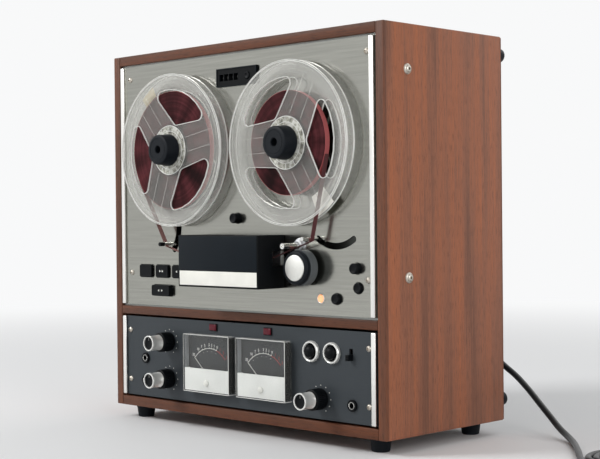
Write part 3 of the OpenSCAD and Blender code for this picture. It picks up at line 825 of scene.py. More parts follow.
def place_set(pieces, material, slot, node):
    """Places like pieces on the case; the first of them stands for their CAD node."""
    place(pieces[0], material, "case", slot, node)
    for piece in pieces[1:]:
        place(piece, material, "case", slot)


def paint(material, *nodes):
    """Gives CAD nodes that stay in view their finish."""
    for node in nodes:
        mesh = NODES[node].data
        mesh.materials.clear()
        mesh.materials.append(material)


def block(name, low, high, edge=0.0):
    """Box between two corners with all its edges rounded by edge mm."""
    obj = begin(bpy.ops.mesh.primitive_cube_add, name, size=1, location=(low + high) / 2)
    with Editing(obj):
        bpy.ops.transform.resize(value=tuple(high - low))
        if edge:
            bpy.ops.mesh.bevel(offset=edge * MM, segments=3, affect="EDGES")
    return settle(obj)


def plate(name, x, z, depth, edge=0.0):
    """Box in mm given by its range across, up and behind the sleeve's front."""
    return block(name, spot(x[0], depth[0], z[0]), spot(x[1], depth[1], z[1]), edge)


def chain(name, points):
    """A row of edges through points."""
    obj = begin(bpy.ops.mesh.primitive_plane_add, name, size=MM)
    with Editing(obj):
        bpy.ops.mesh.select_mode(type="VERT")
        bpy.ops.mesh.merge(type="CENTER")
        bpy.ops.transform.translate(value=points[0])
        for start, end in zip(points, points[1:]):
            bpy.ops.mesh.extrude_vertices_move(TRANSFORM_OT_translate={"value": end - start})
    return obj


def spun(obj, centre, angle, steps):
    """Turns a row of edges about a line along Y through centre, into faces."""
    with Editing(obj) as edit:
        bpy.ops.mesh.spin(steps=steps, angle=angle, center=centre, axis=(0, 1, 0))
        edit.clean()
    return obj


def turned(name, centre, profile, steps=64):
    """Body turned about a line along Y through centre; the profile lists radius and depth in mm."""
    points = [centre + Vector((radius * MM, depth * MM, 0)) for radius, depth in profile]
    return spun(chain(name, points), centre, math.tau, steps)


def closed(profile):
    """A profile that comes back to its first point, for a ring."""
    return [*profile, profile[0]]


def outwards(degrees):
    """The way out from a centre in the front plane, at an angle from +X."""
    angle = math.radians(degrees)
    return Vector((math.cos(angle), 0, math.sin(angle)))


def arc_band(name, centre, radii, angles):
    """Thin band round centre in the front plane, between two radii in mm and two angles from +X."""
    sweep = angles[1] - angles[0]
    row = chain(name, [centre + outwards(angles[0]) * (radius * MM) for radius in radii])
    band = spun(row, centre, math.radians(sweep), max(4, int(abs(sweep) / 3)))
    modify(band, "SOLIDIFY", thickness=0.1 * MM, offset=0)
    return band


def cross_recess(head, reach, half, depth):
    """Cuts a cross into the head of a screw: two slots of a reach, half width and depth in mm."""
    for x, z in ((reach, half), (half, reach)):
        cut(head, block("slot", Vector((-x, depth[0], -z)) * MM, Vector((x, depth[1], z)) * MM))


def figure(name, text, height, centre):
    """A plain number that faces the front, as a mesh."""
    size_per_height = 1.4
    obj = begin(bpy.ops.object.text_add, name)
    obj.data.body = text
    obj.data.size = size_per_height * height * MM
    obj.data.align_x = "CENTER"
    obj.data.align_y = "CENTER"
    obj.data.extrude = 0.04 * MM
    obj.data.resolution_u = 3
    only(obj)
    bpy.ops.object.convert(target="MESH")
    obj = bpy.context.object
    obj.rotation_euler = (math.pi / 2, 0, 0)
    obj.location = centre
    return settle(obj)


def arrow(name, centre, size, right):
    """Small printed triangle that points left or right."""
    obj = begin(
        bpy.ops.mesh.primitive_circle_add, name, vertices=3, radius=size * MM, fill_type="NGON",
        rotation=(math.pi / 2, 0, 0),
    )
    settle(obj)
    obj.rotation_euler.y = math.pi / 2 if right else -math.pi / 2
    obj.location = centre
    settle(obj)
    modify(obj, "SOLIDIFY", thickness=0.1 * MM, offset=0)
    return obj


def smooth_route(points, steps):
    """Points on the smooth curve through a route."""
    found = []
    for i in range(len(points) - 1):
        a, b, c, d = (points[max(0, min(len(points) - 1, i + k))] for k in (-1, 0, 1, 2))
        for k in range(steps):
            t = k / steps
            bend = (2 * a - 5 * b + 4 * c - d) * t ** 2 + (3 * b - a - 3 * c + d) * t ** 3
            found.append(0.5 * (2 * b + (c - a) * t + bend))
    return [*found, points[-1]]


def coil_points(diameter):
    """Turns wound inwards on the floor, then outwards on top, in mm."""
    half = COIL_TURNS + 0.25
    pitch = diameter + COIL_GAP
    found = []
    for i in range(int((2 * COIL_TURNS + 0.5) * COIL_STEPS) + 1):
        t = i / COIL_STEPS
        radius = COIL_OUT - pitch * (half - abs(t - half))
        angle = math.radians(COIL_START + 360 * t)
        lift = CORD_LOW + (diameter + 0.6) * max(0, min(1, 2 * (t - COIL_TURNS)))
        found.append(Vector((
            COIL_CENTRE[0] + radius * math.cos(angle), COIL_CENTRE[1] + radius * math.sin(angle), lift
        )))
    return found


def lead_path(diameter):
    """Centre line of the lead in metres, from the strain relief to the plug."""
    coil = coil_points(diameter)
    lead_in = diameter * (coil[1] - coil[0]).normalized()
    lead_out = diameter * (coil[-1] - coil[-2]).normalized()
    route = [Vector(point) for point in LEAD_ROUTE]
    route += [coil[0] - 2 * lead_in, coil[0] - lead_in]
    return [point * MM for point in [*smooth_route(route, 6), *coil, coil[-1] + lead_out]]


class DECK_OT_stage(bpy.types.Operator):
    """Camera where the photograph was taken, soft studio light and a pale floor"""

    bl_idname = "deck.stage"
    bl_label = "Camera and stage"

    def execute(self, context):
        self.camera(context)
        self.floor()
        self.world(context)
        for name, where, size, power in (
            ("key_light", (-1.5, -1.9, 1.9), 0.9, 54),
            ("side_light", (2.4, -0.4, 0.95), 1.4, 19),
            ("back_light", (0.3, 2.2, 2.0), 1.6, 16),
        ):
            self.lamp(name, Vector(where), size, power)
        context.scene.view_settings.view_transform = "Standard"
        return {"FINISHED"}

    def camera(self, context):
        view = context.scene.deck_view
        level = math.cos(view.elevation)
        back = Vector((
            math.sin(view.azimuth) * level, -math.cos(view.azimuth) * level, math.sin(view.elevation)
        ))
        right = Vector((math.cos(view.azimuth), math.sin(view.azimuth), 0))
        up = back.cross(right)
        leaning_right = right * math.cos(view.roll) + up * math.sin(view.roll)
        leaning_up = up * math.cos(view.roll) - right * math.sin(view.roll)
        camera = begin(bpy.ops.object.camera_add, "camera")
        turn = Matrix((leaning_right, leaning_up, back)).transposed()
        camera.matrix_world = Matrix.Translation(Vector(view.place)) @ turn.to_4x4()
        camera.data.sensor_fit = "HORIZONTAL"
        camera.data.sensor_width = 36
        camera.data.lens = view.lens
        context.scene.camera = camera

    def lamp(self, name, where, size, power):
        lamp = begin(bpy.ops.object.light_add, name, type="AREA", location=where)
        lamp.data.energy = power
        lamp.data.size = size
        aim = Vector((0, 0, 0.25)) - where
        lamp.rotation_euler = aim.to_track_quat("-Z", "Y").to_euler()

    def floor(self):
        floor = begin(bpy.ops.mesh.primitive_circle_add, "floor", vertices=64, radius=40, fill_type="NGON")
        floor.data.materials.append(finish(pale_floor))

    def world(self, context):
        world = bpy.data.worlds.new("studio")
        f = Finish(world)
        strength = BACKDROP_LIGHT + seen_directly(f) * (BACKDROP_SEEN - BACKDROP_LIGHT)
        f.feed(f.tree.nodes["Background"].inputs["Color"], BACKDROP)
        f.feed(f.tree.nodes["Background"].inputs["Strength"], strength)
        context.scene.world = world


def seen_directly(f):
    """One for rays that come from the camera, a mirror or a clear pane."""
    camera = f.node("ShaderNodeLightPath", output=0)
    glossy = f.node("ShaderNodeLightPath", output=3)
    through = f.node("ShaderNodeLightPath", output=6)
    return (camera + glossy + through).above(0.5)


def pale_floor(f):
    """Pale floor that keeps the shadow and fades into the backdrop."""
    away = f.node("ShaderNodeVectorMath", {"operation": "LENGTH"}, {0: pattern(f, (1, 1, 1))}, output=1)
    far = eased(f, away, 0.7, 2.4)
    f.surface({"Base Color": (0.78, 0.785, 0.79), "Roughness": 0.7})
    sky = f.node("ShaderNodeEmission", None, {"Color": BACKDROP, "Strength": BACKDROP_SEEN})
    near = Signal(f, f.tree.nodes["Principled BSDF"].outputs[0])
    both = f.node("ShaderNodeMixShader", None, {0: far * seen_directly(f), 1: near, 2: sky})
    f.feed(f.tree.nodes["Material Output"].inputs["Surface"], both)


class DECK_OT_mains_lead(bpy.types.Operator):
    """Mains lead with its coil and tie, strain relief and plug"""

    bl_idname = "deck.mains_lead"
    bl_label = "Mains lead"

    def execute(self, context):
        diameter = sizes().lead / MM
        path = lead_path(diameter)
        lead = self.lead(path, diameter)
        with_it = [self.tie(diameter), self.strain_relief(), *self.plug(path)]
        total = sum((b - a).length for a, b in zip(path, path[1:]))
        diameter * MM
        return {"FINISHED"}

    def lead(self, path, diameter):
        curve = bpy.data.curves.new("mains_lead", "CURVE")
        curve.dimensions = "3D"
        spline = curve.splines.new("POLY")
        spline.points.add(len(path) - 1)
        for point, where in zip(spline.points, path):
            point.co = (*where, 1)
        curve.bevel_depth = diameter * MM / 2
        curve.bevel_resolution = 4
        curve.use_fill_caps = True
        spline.use_smooth = True
        lead = bpy.data.objects.new("mains_lead", curve)
        bpy.context.scene.collection.objects.link(lead)
        curve.materials.append(lead_jacket())
        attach(lead, "case")
        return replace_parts(lead, "mains_cord", "mains_cord_coil")

    def tie(self, diameter):
        """Flat band round the coil's turns."""
        reach = COIL_OUT - 1.5 * (diameter + COIL_GAP)
        turns = Vector((COIL_CENTRE[0] + reach, COIL_CENTRE[1], 8.6))
        half = Vector((15.6, 4, 8.4))
        tie = block("lead_tie", (turns - half) * MM, (turns + half) * MM)
        with Editing(tie) as edit:
            edit.pick("FACE", lambda face: abs(face.normal.y) > 0.9)
            bpy.ops.mesh.delete(type="FACE")
            edit.pick("EDGE", runs_along(1))
            bpy.ops.mesh.bevel(offset=5 * MM, segments=5, affect="EDGES")
        modify(tie, "SOLIDIFY", thickness=1 * MM, offset=-1)
        return place(tie, black_satin(), "case", "black_plastic")

    def strain_relief(self):
        """Ribbed boot where the lead leaves the back."""
        low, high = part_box("cord_strain_relief")
        boot_long = 34.5
        start = (high.y - low.y) / MM - boot_long
        profile = [(0, 0), (5.2, 0), (5.2, start), (7.5, start), (7.5, start + 3), (7, start + 4)]
        for k in range(7):
            depth = start + 5 + 4 * k
            rib = 6.6 - 0.25 * k
            neck = rib - 1
            profile += [(neck, depth), (neck, depth + 1), (rib, depth + 1.4), (rib, depth + 3.4)]
        profile += [(4.4, start + boot_long), (0, start + boot_long)]
        where = Vector(((low.x + high.x) / 2, low.y, (low.z + high.z) / 2))
        boot = turned("lead_boot", where, profile, 40)
        return place(boot, lead_jacket(), "case", "cord_black", "cord_strain_relief")

    def plug(self, path):
        """Round plug body with finger grips and two pins."""
        heading = path[-1] - path[-2]
        turn = (0, 0, math.atan2(heading.y, heading.x) - math.pi / 2)
        body_profile = [
            (0, 0), (4.5, 0), (5, 3), (7, 10), (9.2, 12), (11, 13), (11.1, 15), (10.2, 18), (10.2, 20),
            (11.1, 23), (10.2, 26), (10.2, 28), (11.1, 31), (11.1, 36.5), (10.1, 38), (0, 38),
        ]
        body = turned("mains_plug_body", Vector(), body_profile, 48)
        pins = []
        for side in (-1, 1):
            pin_profile = [(0, 38), (2.4, 38), (2.4, 39), (1.6, 39), (1.6, 53), (0.9, 54), (0, 54)]
            pins.append(turned("pin", Vector((side * 6.35 * MM, 0, 0)), pin_profile, 24))
        pins = joined("mains_plug_pins", pins)
        for piece in (body, pins):
            piece.rotation_euler = turn
            piece.location = path[-1]
        return [
            place(body, lead_jacket(), "case", "cord_black", "mains_plug"),
            place(pins, brass(), "case", "nickel"),
        ]


class DECK_OT_sleeve(bpy.types.Operator):
    """Wooden sleeve with its screws, feet, bumpers and ventilated back"""

    bl_idname = "deck.sleeve"
    bl_label = "Wooden sleeve"

    def execute(self, context):
        self.boards()
        self.side_screws()
        self.feet()
        paint(rear_board(), "rear_cover")
        self.rear_screws()
        return {"FINISHED"}

    def boards(self):
        (left, right), (_, tall), (_, deep) = spans("cabinet_sides")
        inner_left, inner_right = spans("cabinet_cross_boards")[0]
        edge = sizes().board_edge / MM
        lip = 2.5
        for side, x in (("left", (left, inner_left)), ("right", (inner_right, right))):
            # The lippings take the darker veneer: painted shade at the front and rear edges of the side
            # boards.
            for name, depth, material, rounding in (
                ("side_board", (lip, deep - lip), veneer_upright(), edge),
                ("front_lipping", (0, 2 * lip), veneer_lipping(), edge),
                ("rear_lipping", (deep - 2 * lip, deep), veneer_lipping(), 2 * edge),
            ):
                piece = plate(f"{name}_{side}", x, (0, tall), depth, rounding)
                nodes = ["cabinet_sides"] if piece.name == "side_board_left" else []
                place(piece, material, "case", "wood_side", *nodes)
        thick = 11.5
        # The level boards take the darker veneer: painted shade.
        for name, z, back in (
            ("top_board", (tall - thick, tall), deep),
            ("bottom_board", (0, thick), deep),
            ("rail_board", (113, 123), 190),
        ):
            piece = plate(name, (inner_left, inner_right), z, (0.2, back), edge * 0.7)
            nodes = ["cabinet_cross_boards"] if name == "top_board" else []
            place(piece, veneer_level(), "case", "wood_rail", *nodes)

    def side_screws(self):
        """Domed screws in cup washers, two on each side."""
        screw = turned("side_screw", Vector(), [
            (0, -0.6), (1.4, -0.6), (1.5, -3.3), (2.1, -3.4), (3, -3), (3.8, -2.2), (4, -1.4), (4.2, -1.4),
            (4.4, -2), (4.9, -1.8), (5.5, -1), (5.9, -0.2), (5.9, 0), (0, 0),
        ], 40)
        left, right = spans("cabinet_sides")[0]
        for side, x, turn in (("left", left, -math.pi / 2), ("right", right, math.pi / 2)):
            for z in (166, 382.5):
                piece = copied(screw, f"side_screw_{side}_{int(z)}", spot(x, 37, z), (0, 0, turn))
                place(piece, screw_metal(), "case", "nickel")
        bpy.data.objects.remove(screw)

    def feet(self):
        foot = turned("foot", Vector(), [
            (0, 0), (3, 0), (3, -3), (5, -3), (5, 0), (9, 0), (9.8, -0.8), (11.2, -11), (11.8, -12),
            (11.8, -15.5), (0, -15.5),
        ], 40)
        floor = -BASE / MM
        places = [spot(x, depth, floor) for x in (-193.5, 193.5) for depth in (23, 176)]
        feet = spread(foot, places, (-math.pi / 2, 0, 0))
        bumper = turned("rear_bumper", Vector(), [
            (0, 0), (8.3, 0), (8.3, 3), (7.9, 6.8), (6.8, 8.2), (5.6, 8.5), (3.2, 8.5), (2.8, 5), (0, 5),
        ], 32)
        back = spans("cabinet_sides")[2][1]
        bumpers = spread(bumper, [spot(x, back, z) for x in (-213, 213) for z in (23, 410)])
        place_set([*feet, *bumpers], rubber(), "black_rubber", "feet")

    def rear_screws(self):
        screw = turned("rear_screw", Vector(), [
            (0, 2.1), (1.5, 2), (2.8, 1.4), (3.4, 0.5), (3.4, 0), (0, 0),
        ], 24)
        cross_recess(screw, 2.4, 0.4, (1.2, 3))
        places = [spot(x, REAR, z) for x in (-202, 202) for z in (20, 130, 300, 410)]
        place(joined("rear_screws", spread(screw, places)), nickel(), "case", "nickel")


class DECK_OT_panels(bpy.types.Operator):
    """Front panels with their trim strips and screws"""

    bl_idname = "deck.panels"
    bl_label = "Front panels"

    def execute(self, context):
        paint(finish(brushed_panel), "deck_plate")
        paint(finish(slate_panel), "amplifier_panel")
        self.trim()
        self.screws()
        return {"FINISHED"}

    def trim(self):
        """Bright strip at each end of both panels."""
        wide = 6
        strips = []
        for panel, node in (("deck", "deck_plate"), ("amplifier", "amplifier_panel")):
            (left, right), z, _ = spans(node)
            for side, x in (("left", (left, left + wide)), ("right", (right - wide, right))):
                strips.append(plate(f"trim_{panel}_{side}", x, z, (-1.5, 1.5), 1.1))
        place_set(strips, trim_metal(), "bright_trim", "trim_strips")

    def screws(self):
        head = turned("panel_screw", Vector(), [
            (0, -2.2), (1, -2.15), (2.2, -1.75), (3, -1), (3.35, -0.3), (3.4, 0), (0, 0),
        ], 32)
        cross_recess(head, 2, 0.5, (-3, -0.6))
        places = [spot(x, 1.5, z) for x in (-191.6, 197.4) for z in (164, 400.3)]
        places += [spot(x, 1.5, z) for x in (-195.5, 197.4) for z in (33, 93.4)]
        place_set(spread(head, places), screw_metal(), "nickel", "screws")


class DECK_OT_reels(bpy.types.Operator):
    """Clear reels with painted highlights on their edges, wound tape, rubber hub caps and turntables"""

    bl_idname = "deck.reels"
    bl_label = "Reels"

    def execute(self, context):
        for side in ("left", "right"):
            reel = f"{side}_reel"
            pack = f"{side}_tape_pack"
            centre = on_front(reel)
            paint(finish(reel_plastic, centre, name=f"reel_plastic_{side}"), reel)
            paint(finish(wound_tape, centre, half_width(pack), name=f"wound_tape_{side}"), pack)
            for build in (self.edges, self.steps, self.hub, self.label, self.hub_cap, self.turntable):
                build(side, centre, f"{side}_reel_unit")
        return {"FINISHED"}

    def edges(self, side, centre, body):
        """Cut edges of the flanges and their windows, painted near-white as a highlight."""
        only(NODES[f"{side}_reel"])
        bpy.ops.object.duplicate(linked=False)
        edges = named(bpy.context.object, f"{side}_reel_edges")
        edges.parent = None
        for key in list(edges.keys()):
            del edges[key]
        def inner_or_flat(face):
            out = face.calc_center_median() - centre
            return abs(face.normal.y) > 0.5 or math.hypot(out.x, out.z) < 29.6 * MM
        with Editing(edges) as edit:
            bpy.ops.mesh.remove_doubles(threshold=SAME_POINT)
            edit.pick("FACE", inner_or_flat)
            bpy.ops.mesh.delete(type="FACE")
        modify(edges, "SOLIDIFY", thickness=0.6 * MM, offset=0.1)
        rim = self.ring(centre, 87.6, 0.7)
        place(joined(f"{side}_reel_edges", [edges, rim]), reel_edge(), body, "clear_plastic")

    def steps(self, side, centre, body):
        """Moulded rings and the ridges along the spokes, in faint painted highlight."""
        steps = [self.ring(centre, radius, wide) for radius, wide in ((79, 0.5), (84, 0.6))]
        for k in range(3):
            for across in (-8.5, 8.5):
                steps.append(self.bar(centre, SPOKES[side] + 120 * k, (31, 77), across, 0.25))
        place(joined(f"{side}_reel_steps", steps), reel_step(), body, "clear_plastic")

    def ring(self, centre, radius, wide):
        """Moulded step on the face of the front flange."""
        top = FLANGE_FACE - 0.25
        return turned("ring", centre, closed([
            (radius - wide / 2, FLANGE_FACE), (radius - wide / 3, top), (radius + wide / 3, top),
            (radius + wide / 2, FLANGE_FACE),
        ]), 96)

    def bar(self, centre, degrees, reach, across, deep):
        """Raised bar along a radius of the front flange, or beside it."""
        top = FLANGE_FACE - 0.2
        low = Vector((reach[0], top, across - 0.25)) * MM
        high = Vector((reach[1], top + deep, across + 0.25)) * MM
        bar = block("bar", low, high)
        turn = Matrix.Rotation(-math.radians(degrees), 4, "Y")
        bar.data.transform(Matrix.Translation(centre) @ turn)
        return bar

    def hub(self, side, centre, body):
        """Milky hub behind the front flange, with rings and ribs in painted highlight."""
        hub = turned(f"{side}_reel_hub", centre, closed([
            (9, -16.4), (9, -17), (28.8, -17), (28.8, -16.4),
        ]), 72)
        place(hub, finish(hub_milk), body, "clear_plastic")
        bright = [self.ring(centre, radius, wide) for radius, wide in ((22.2, 0.7), (28.5, 0.9))]
        bright += [self.bar(centre, -30 * k, (22.4, 28.2), 0, 0.3) for k in range(12)]
        place(joined(f"{side}_reel_ribs", bright), reel_edge(), body, "clear_plastic")

    def label(self, side, centre, body):
        """Plain paper label on the rear flange."""
        angle, half, radii = LABELS[side]
        face = centre + Vector((0, LABEL_DEPTH * MM, 0))
        label = arc_band(f"{side}_reel_label", face, radii, around(angle, half))
        place(label, ivory_plate() if side == "right" else faded_paper(), body, "clear_plastic")

    def hub_cap(self, side, centre, body):
        cap = turned(f"{side}_hub_cap_shape", centre, closed([
            (4.4, -28), (4.4, -34.2), (5.2, -35), (12.4, -35), (12.9, -34.6), (13.4, -35), (15.6, -35),
            (17, -34.4), (17.5, -33.2), (17.8, -24), (18.5, -21.5), (18.5, -18), (18.2, -17.6), (4, -17.6),
            (4, -28),
        ]), 64)
        place(cap, rubber(), body, "black_rubber", f"{side}_hub_cap")

    def turntable(self, side, centre, body):
        table = turned(f"{side}_turntable", centre, [
            (0, -27), (3, -27), (3.8, -26), (3.8, -4.9), (33, -4.9), (34.5, -4.4), (34.5, -3.8),
            (35.4, -3.8), (36, -3.2), (36, -1.4), (35.4, -1), (5, -1), (5, 60), (0, 60),
        ], 72)
        place(table, motor_paint(), body, "motor_paint", f"{side}_reel_table")


class DECK_OT_tape_path(bpy.types.Operator):
    """Head cover, tape, capstan, pinch roller and tension arms"""

    bl_idname = "deck.tape_path"
    bl_label = "Tape path"

    def execute(self, context):
        self.cover()
        self.tape()
        self.roller()
        self.capstan()
        self.rods()
        paint(steel(), "head_block", "pinch_arm")
        paint(nickel(), "left_tension_arm", "right_tension_arm")
        return {"FINISHED"}

    def cover(self):
        """Hollow head cover with a slot for the tape, a dark fascia and a plain pale band."""
        low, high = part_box("head_cover")
        cover = block("head_cover_shell", low, high, 1.2)
        wall = Vector((2, 2, 2)) * MM
        hollow = block("hollow", low + wall, Vector((high.x - wall.x, high.y + wall.y, high.z - wall.z)))
        slot = plate("slot", (-60, 80), (177.6, 193.6), (-17, 4))
        cut(cover, hollow, slot)
        place(cover, black_matt(), "case", "black_plastic", "head_cover")
        (left, right), (bottom, top), (face, _) = spans("head_cover")
        meeting = 171
        for name, material, start, z, proud, edge in (
            ("fascia", fascia_slate(), left + 1.3, (meeting + 0.4, top - 1.3), 0.25, 0.2),
            ("band", ivory_plate(), left + 2.6, (bottom + 2.1, meeting - 0.4), 0.4, 0.25),
        ):
            piece = plate(f"head_cover_{name}", (start, right - 1.6), z, (face - proud, face + 0.3), edge)
            place(piece, material, "case", "black_plastic")

    def tape(self):
        """Tape from reel to reel past guides and capstan, in pieces split where the tension arms are."""
        guides = [(Vector(at), GUIDE_R) for at in GUIDES]
        capstan = (self.flat(middle("capstan_flywheel")), CAPSTAN_R)
        circles = [
            self.pack("left"), self.rod("left"), *guides, capstan, self.rod("right"), self.pack("right"),
        ]
        headings = [self.heading(a, b) for a, b in zip(circles, circles[1:])]
        stretches = []
        for i, (first, second) in enumerate(zip(circles, circles[1:])):
            points = [self.beside(first, headings[i]), self.beside(second, headings[i])]
            stretches.append(self.straight(points))
        wraps = [self.wrap(circles[i], headings[i - 1], headings[i]) for i in range(1, len(headings))]
        past_roller = len(stretches[4]) // 2
        fixed = stretches[2] + wraps[2][1:] + stretches[3][1:] + wraps[3][1:]
        fixed += stretches[4][1:past_roller + 1]
        left = "left_tension_arm"
        right = "right_tension_arm"
        self.ribbon("tape_left_reel", stretches[0], wraps[0], "case", left)
        self.ribbon("tape_left_arm", stretches[1], wraps[1], left, "case")
        self.ribbon("tape_heads", fixed)
        self.ribbon("tape_right_arm", stretches[4][past_roller:], wraps[4], "case", right)
        self.ribbon("tape_right_reel", stretches[5], (), right, "case")

    def pack(self, side):
        """Middle and radius of a tape pack."""
        node = f"{side}_tape_pack"
        return self.flat(middle(node)), half_width(node)

    def rod(self, side):
        """Middle and radius of a tension arm's rod."""
        low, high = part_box(f"{side}_tension_arm")
        x = high.x - ARM_END * MM if side == "left" else low.x + ARM_END * MM
        return self.flat(Vector((x, 0, low.z + ARM_END * MM))), ROD_R

    def flat(self, where):
        """A point's place across and up in mm."""
        return Vector((where.x, where.z - BASE)) / MM

    def heading(self, first, second):
        """Direction of tape that runs along the lower sides of two circles."""
        step = second[0] - first[0]
        return math.atan2(step.y, step.x) + math.asin((first[1] - second[1]) / step.length)

    def beside(self, circle, heading):
        """Where tape with a heading touches a circle."""
        out = circle[1] + TAPE_STAND
        return circle[0] + out * Vector((math.sin(heading), -math.cos(heading)))

    def straight(self, ends):
        """Points about 5 mm apart between two ends."""
        count = max(2, int((ends[1] - ends[0]).length / 5))
        return [ends[0].lerp(ends[1], k / count) for k in range(count + 1)]

    def wrap(self, circle, before, after):
        """Points round a circle from one heading to the next."""
        after += math.tau * round((before - after) / math.tau)
        return [self.beside(circle, before + (after - before) * k / 10) for k in range(11)]

    def ribbon(self, name, stretch, wrap=(), first="case", second=None):
        """Tape along a stretch and a wrap; with one body named it is set on that body, with two it is left
        loose where it lies.
        """
        edge = TAPE_DEPTH - TAPE_WIDE / 2
        path = [spot(point.x, edge, point.y) for point in [*stretch, *wrap[1:]]]
        tape = chain(name, path)
        with Editing(tape) as edit:
            bpy.ops.mesh.extrude_region_move(TRANSFORM_OT_translate={"value": (0, TAPE_WIDE * MM, 0)})
            edit.clean()
        modify(tape, "SOLIDIFY", thickness=TAPE_THICK * MM, offset=0)
        for side in (tape_back(), tape_coating()):
            tape.data.materials.append(side)
        with Editing(tape) as edit:
            edit.pick("FACE", self.coated)
            tape.active_material_index = 1
            bpy.ops.object.material_slot_assign()
        settle(tape)
        bpy.ops.object.shade_smooth_by_angle(angle=math.radians(35))
        if second:
            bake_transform(tape)
        else:
            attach(tape, first)
            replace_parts(tape, "tape_run")

    def coated(self, face):
        """True on the side of the tape that faces the heads and the reels' hubs."""
        inwards = spot(0, 0, 250) - face.calc_center_median()
        inwards.y = 0
        return face.normal.dot(inwards) > 0.1 * inwards.length

    def roller(self):
        centre = on_front("pinch_roller")
        tyre = turned("pinch_roller_tyre", centre, closed([
            (4.6, -3.3), (18.8, -3.3), (19.5, -4), (19.5, -13.4), (18.9, -14), (4.6, -14),
        ]), 72)
        place(tyre, finish(grooved_rubber), "pinch_roller", "black_rubber", "pinch_roller")
        lip = turned("pinch_roller_lip", centre, closed([
            (4.6, -14.1), (18.2, -14.1), (18.2, -15), (18.9, -15.4), (18.9, -16.2), (18, -16.6), (18, -17.4),
            (18.4, -17.8), (17.6, -19.3), (16.4, -19.9), (14.4, -20), (14.4, -19), (4.6, -19),
        ]), 72)
        place(lip, rubber(), "pinch_roller", "black_rubber")
        disc = turned("pinch_roller_disc", centre, [
            (0, -20.8), (12.6, -20.8), (13.8, -20.4), (14.2, -19.6), (14.2, -18.2), (0, -18.2),
        ], 64)
        place(disc, disc_metal(), "pinch_roller", "steel")

    def capstan(self):
        paint(nickel(), "capstan_flywheel")
        centre = on_front("capstan_flywheel")
        boss = turned("capstan_bearing", centre, closed([
            (3.6, 1.4), (3.6, -2.8), (5.8, -2.8), (6.5, -2.4), (6.8, -1.8), (6.8, 0), (8.2, 0.4), (8.6, 1.4),
        ]), 48)
        place(boss, steel(), "case", "steel")

    def rods(self):
        """End caps on the tension arms' rods."""
        # The left cap is black: painted shade and the dark tape that wraps under the rod there; the right
        # cap is nickel.
        for side, material in (("left", black_satin()), ("right", nickel())):
            at = self.rod(side)[0]
            tip = turned(f"{side}_rod_tip", spot(at.x, 0, at.y), closed([
                (2.25, -18), (2.4, -18), (2.4, -24), (2, -24.4), (0.1, -24.4), (0.1, -23.9), (2.25, -23.9),
            ]), 32)
            place(tip, material, f"{side}_tension_arm", "nickel")


class DECK_OT_keys(bpy.types.Operator):
    """Transport keys, round push buttons and the power lamp"""

    bl_idname = "deck.keys"
    bl_label = "Keys and buttons"

    def execute(self, context):
        marks = {
            "key_1": (),
            "key_2": ((-3.4, True), (1.2, True)),
            "key_3": ((-2.6, False),),
            "stop_key": ((-3, False), (2.6, True)),
        }
        for node, arrows in marks.items():
            self.key(node)
            self.marks(node, arrows)
        for node in ("power_button", "speed_button", "repeat_button", "mode_button", "counter_reset_button"):
            self.push_button(node)
        self.power_lamp()
        return {"FINISHED"}

    def key(self, node):
        low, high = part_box(node)
        cap = block(f"{node}_cap", low, high)
        with Editing(cap) as edit:
            edit.pick("EDGE", runs_along(1))
            bpy.ops.mesh.bevel(offset=sizes().key_corner, segments=5, affect="EDGES")
            edit.pick("FACE", faces_front)
            bpy.ops.mesh.inset(thickness=1 * MM, depth=0)
            edit.pick("EDGE", lambda edge: all(self.on_rim(vert, low, high) for vert in edge.verts))
            bpy.ops.mesh.bevel(offset=0.7 * MM, segments=3, affect="EDGES")
            edit.pick("FACE", faces_front)
            bpy.ops.mesh.inset(thickness=1.2 * MM, depth=-0.35 * MM)
        place(cap, black_satin(), node, "black_gloss", node)

    def on_rim(self, vert, low, high):
        """True on the outer edge of a key's front."""
        corner = sizes().key_corner
        if vert.co.y > low.y + SAME_POINT:
            return False
        reach = Vector((
            max(0, low.x + corner - vert.co.x, vert.co.x - high.x + corner),
            max(0, low.z + corner - vert.co.z, vert.co.z - high.z + corner),
        ))
        return reach.length > corner - 0.2 * MM

    def marks(self, node, arrows):
        if not arrows:
            return
        centre = middle(node)
        centre.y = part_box(node)[0].y + 0.3 * MM
        printed = [arrow("mark", centre + Vector((x * MM, 0, 0)), 1.7, right) for x, right in arrows]
        place(joined(f"{node}_marks", printed), print_white(), node, "needle_white")

    def push_button(self, node):
        """Round button with a dished front; those on the panel stand in a collar."""
        centre = on_front(node)
        radius = half_width(node)
        front, back = spans(node)[2]
        button = turned(f"{node}_cap", centre, [
            (0, front + 0.5), (radius - 2.2, front + 0.45), (radius - 1.6, front + 0.1),
            (radius - 1.1, front), (radius - 0.4, front + 0.25), (radius, front + 0.9), (radius, back),
            (0, back),
        ], 48)
        place(button, black_satin(), node, "black_gloss", node)
        if node == "counter_reset_button":
            return
        inner = radius + 0.35
        outer = radius + 0.8
        collar = turned(f"{node}_collar", centre, closed([
            (inner, 1.6), (inner, 0.9), (radius + 0.6, 0.8), (outer, 1.1), (outer, 1.6),
        ]), 48)
        place(collar, black_satin(), "case", "black_plastic")

    def power_lamp(self):
        centre = spot(130, 0, 143)
        dome = turned("power_lamp_lens", centre, [
            (0, -1.5), (1.8, -1.4), (3.2, -0.9), (4.1, 0), (4.3, 1.4), (3, 1.6), (3, 9), (0, 9),
        ], 48)
        place(dome, amber_lens(), "case", "lamp_red")
        ring = turned("power_lamp_ring", centre, closed([
            (4.35, 1.4), (4.35, 0.5), (4.7, 0.3), (5.2, 0.7), (5.3, 1.5),
        ]), 48)
        place(ring, trim_metal(), "case", "nickel")


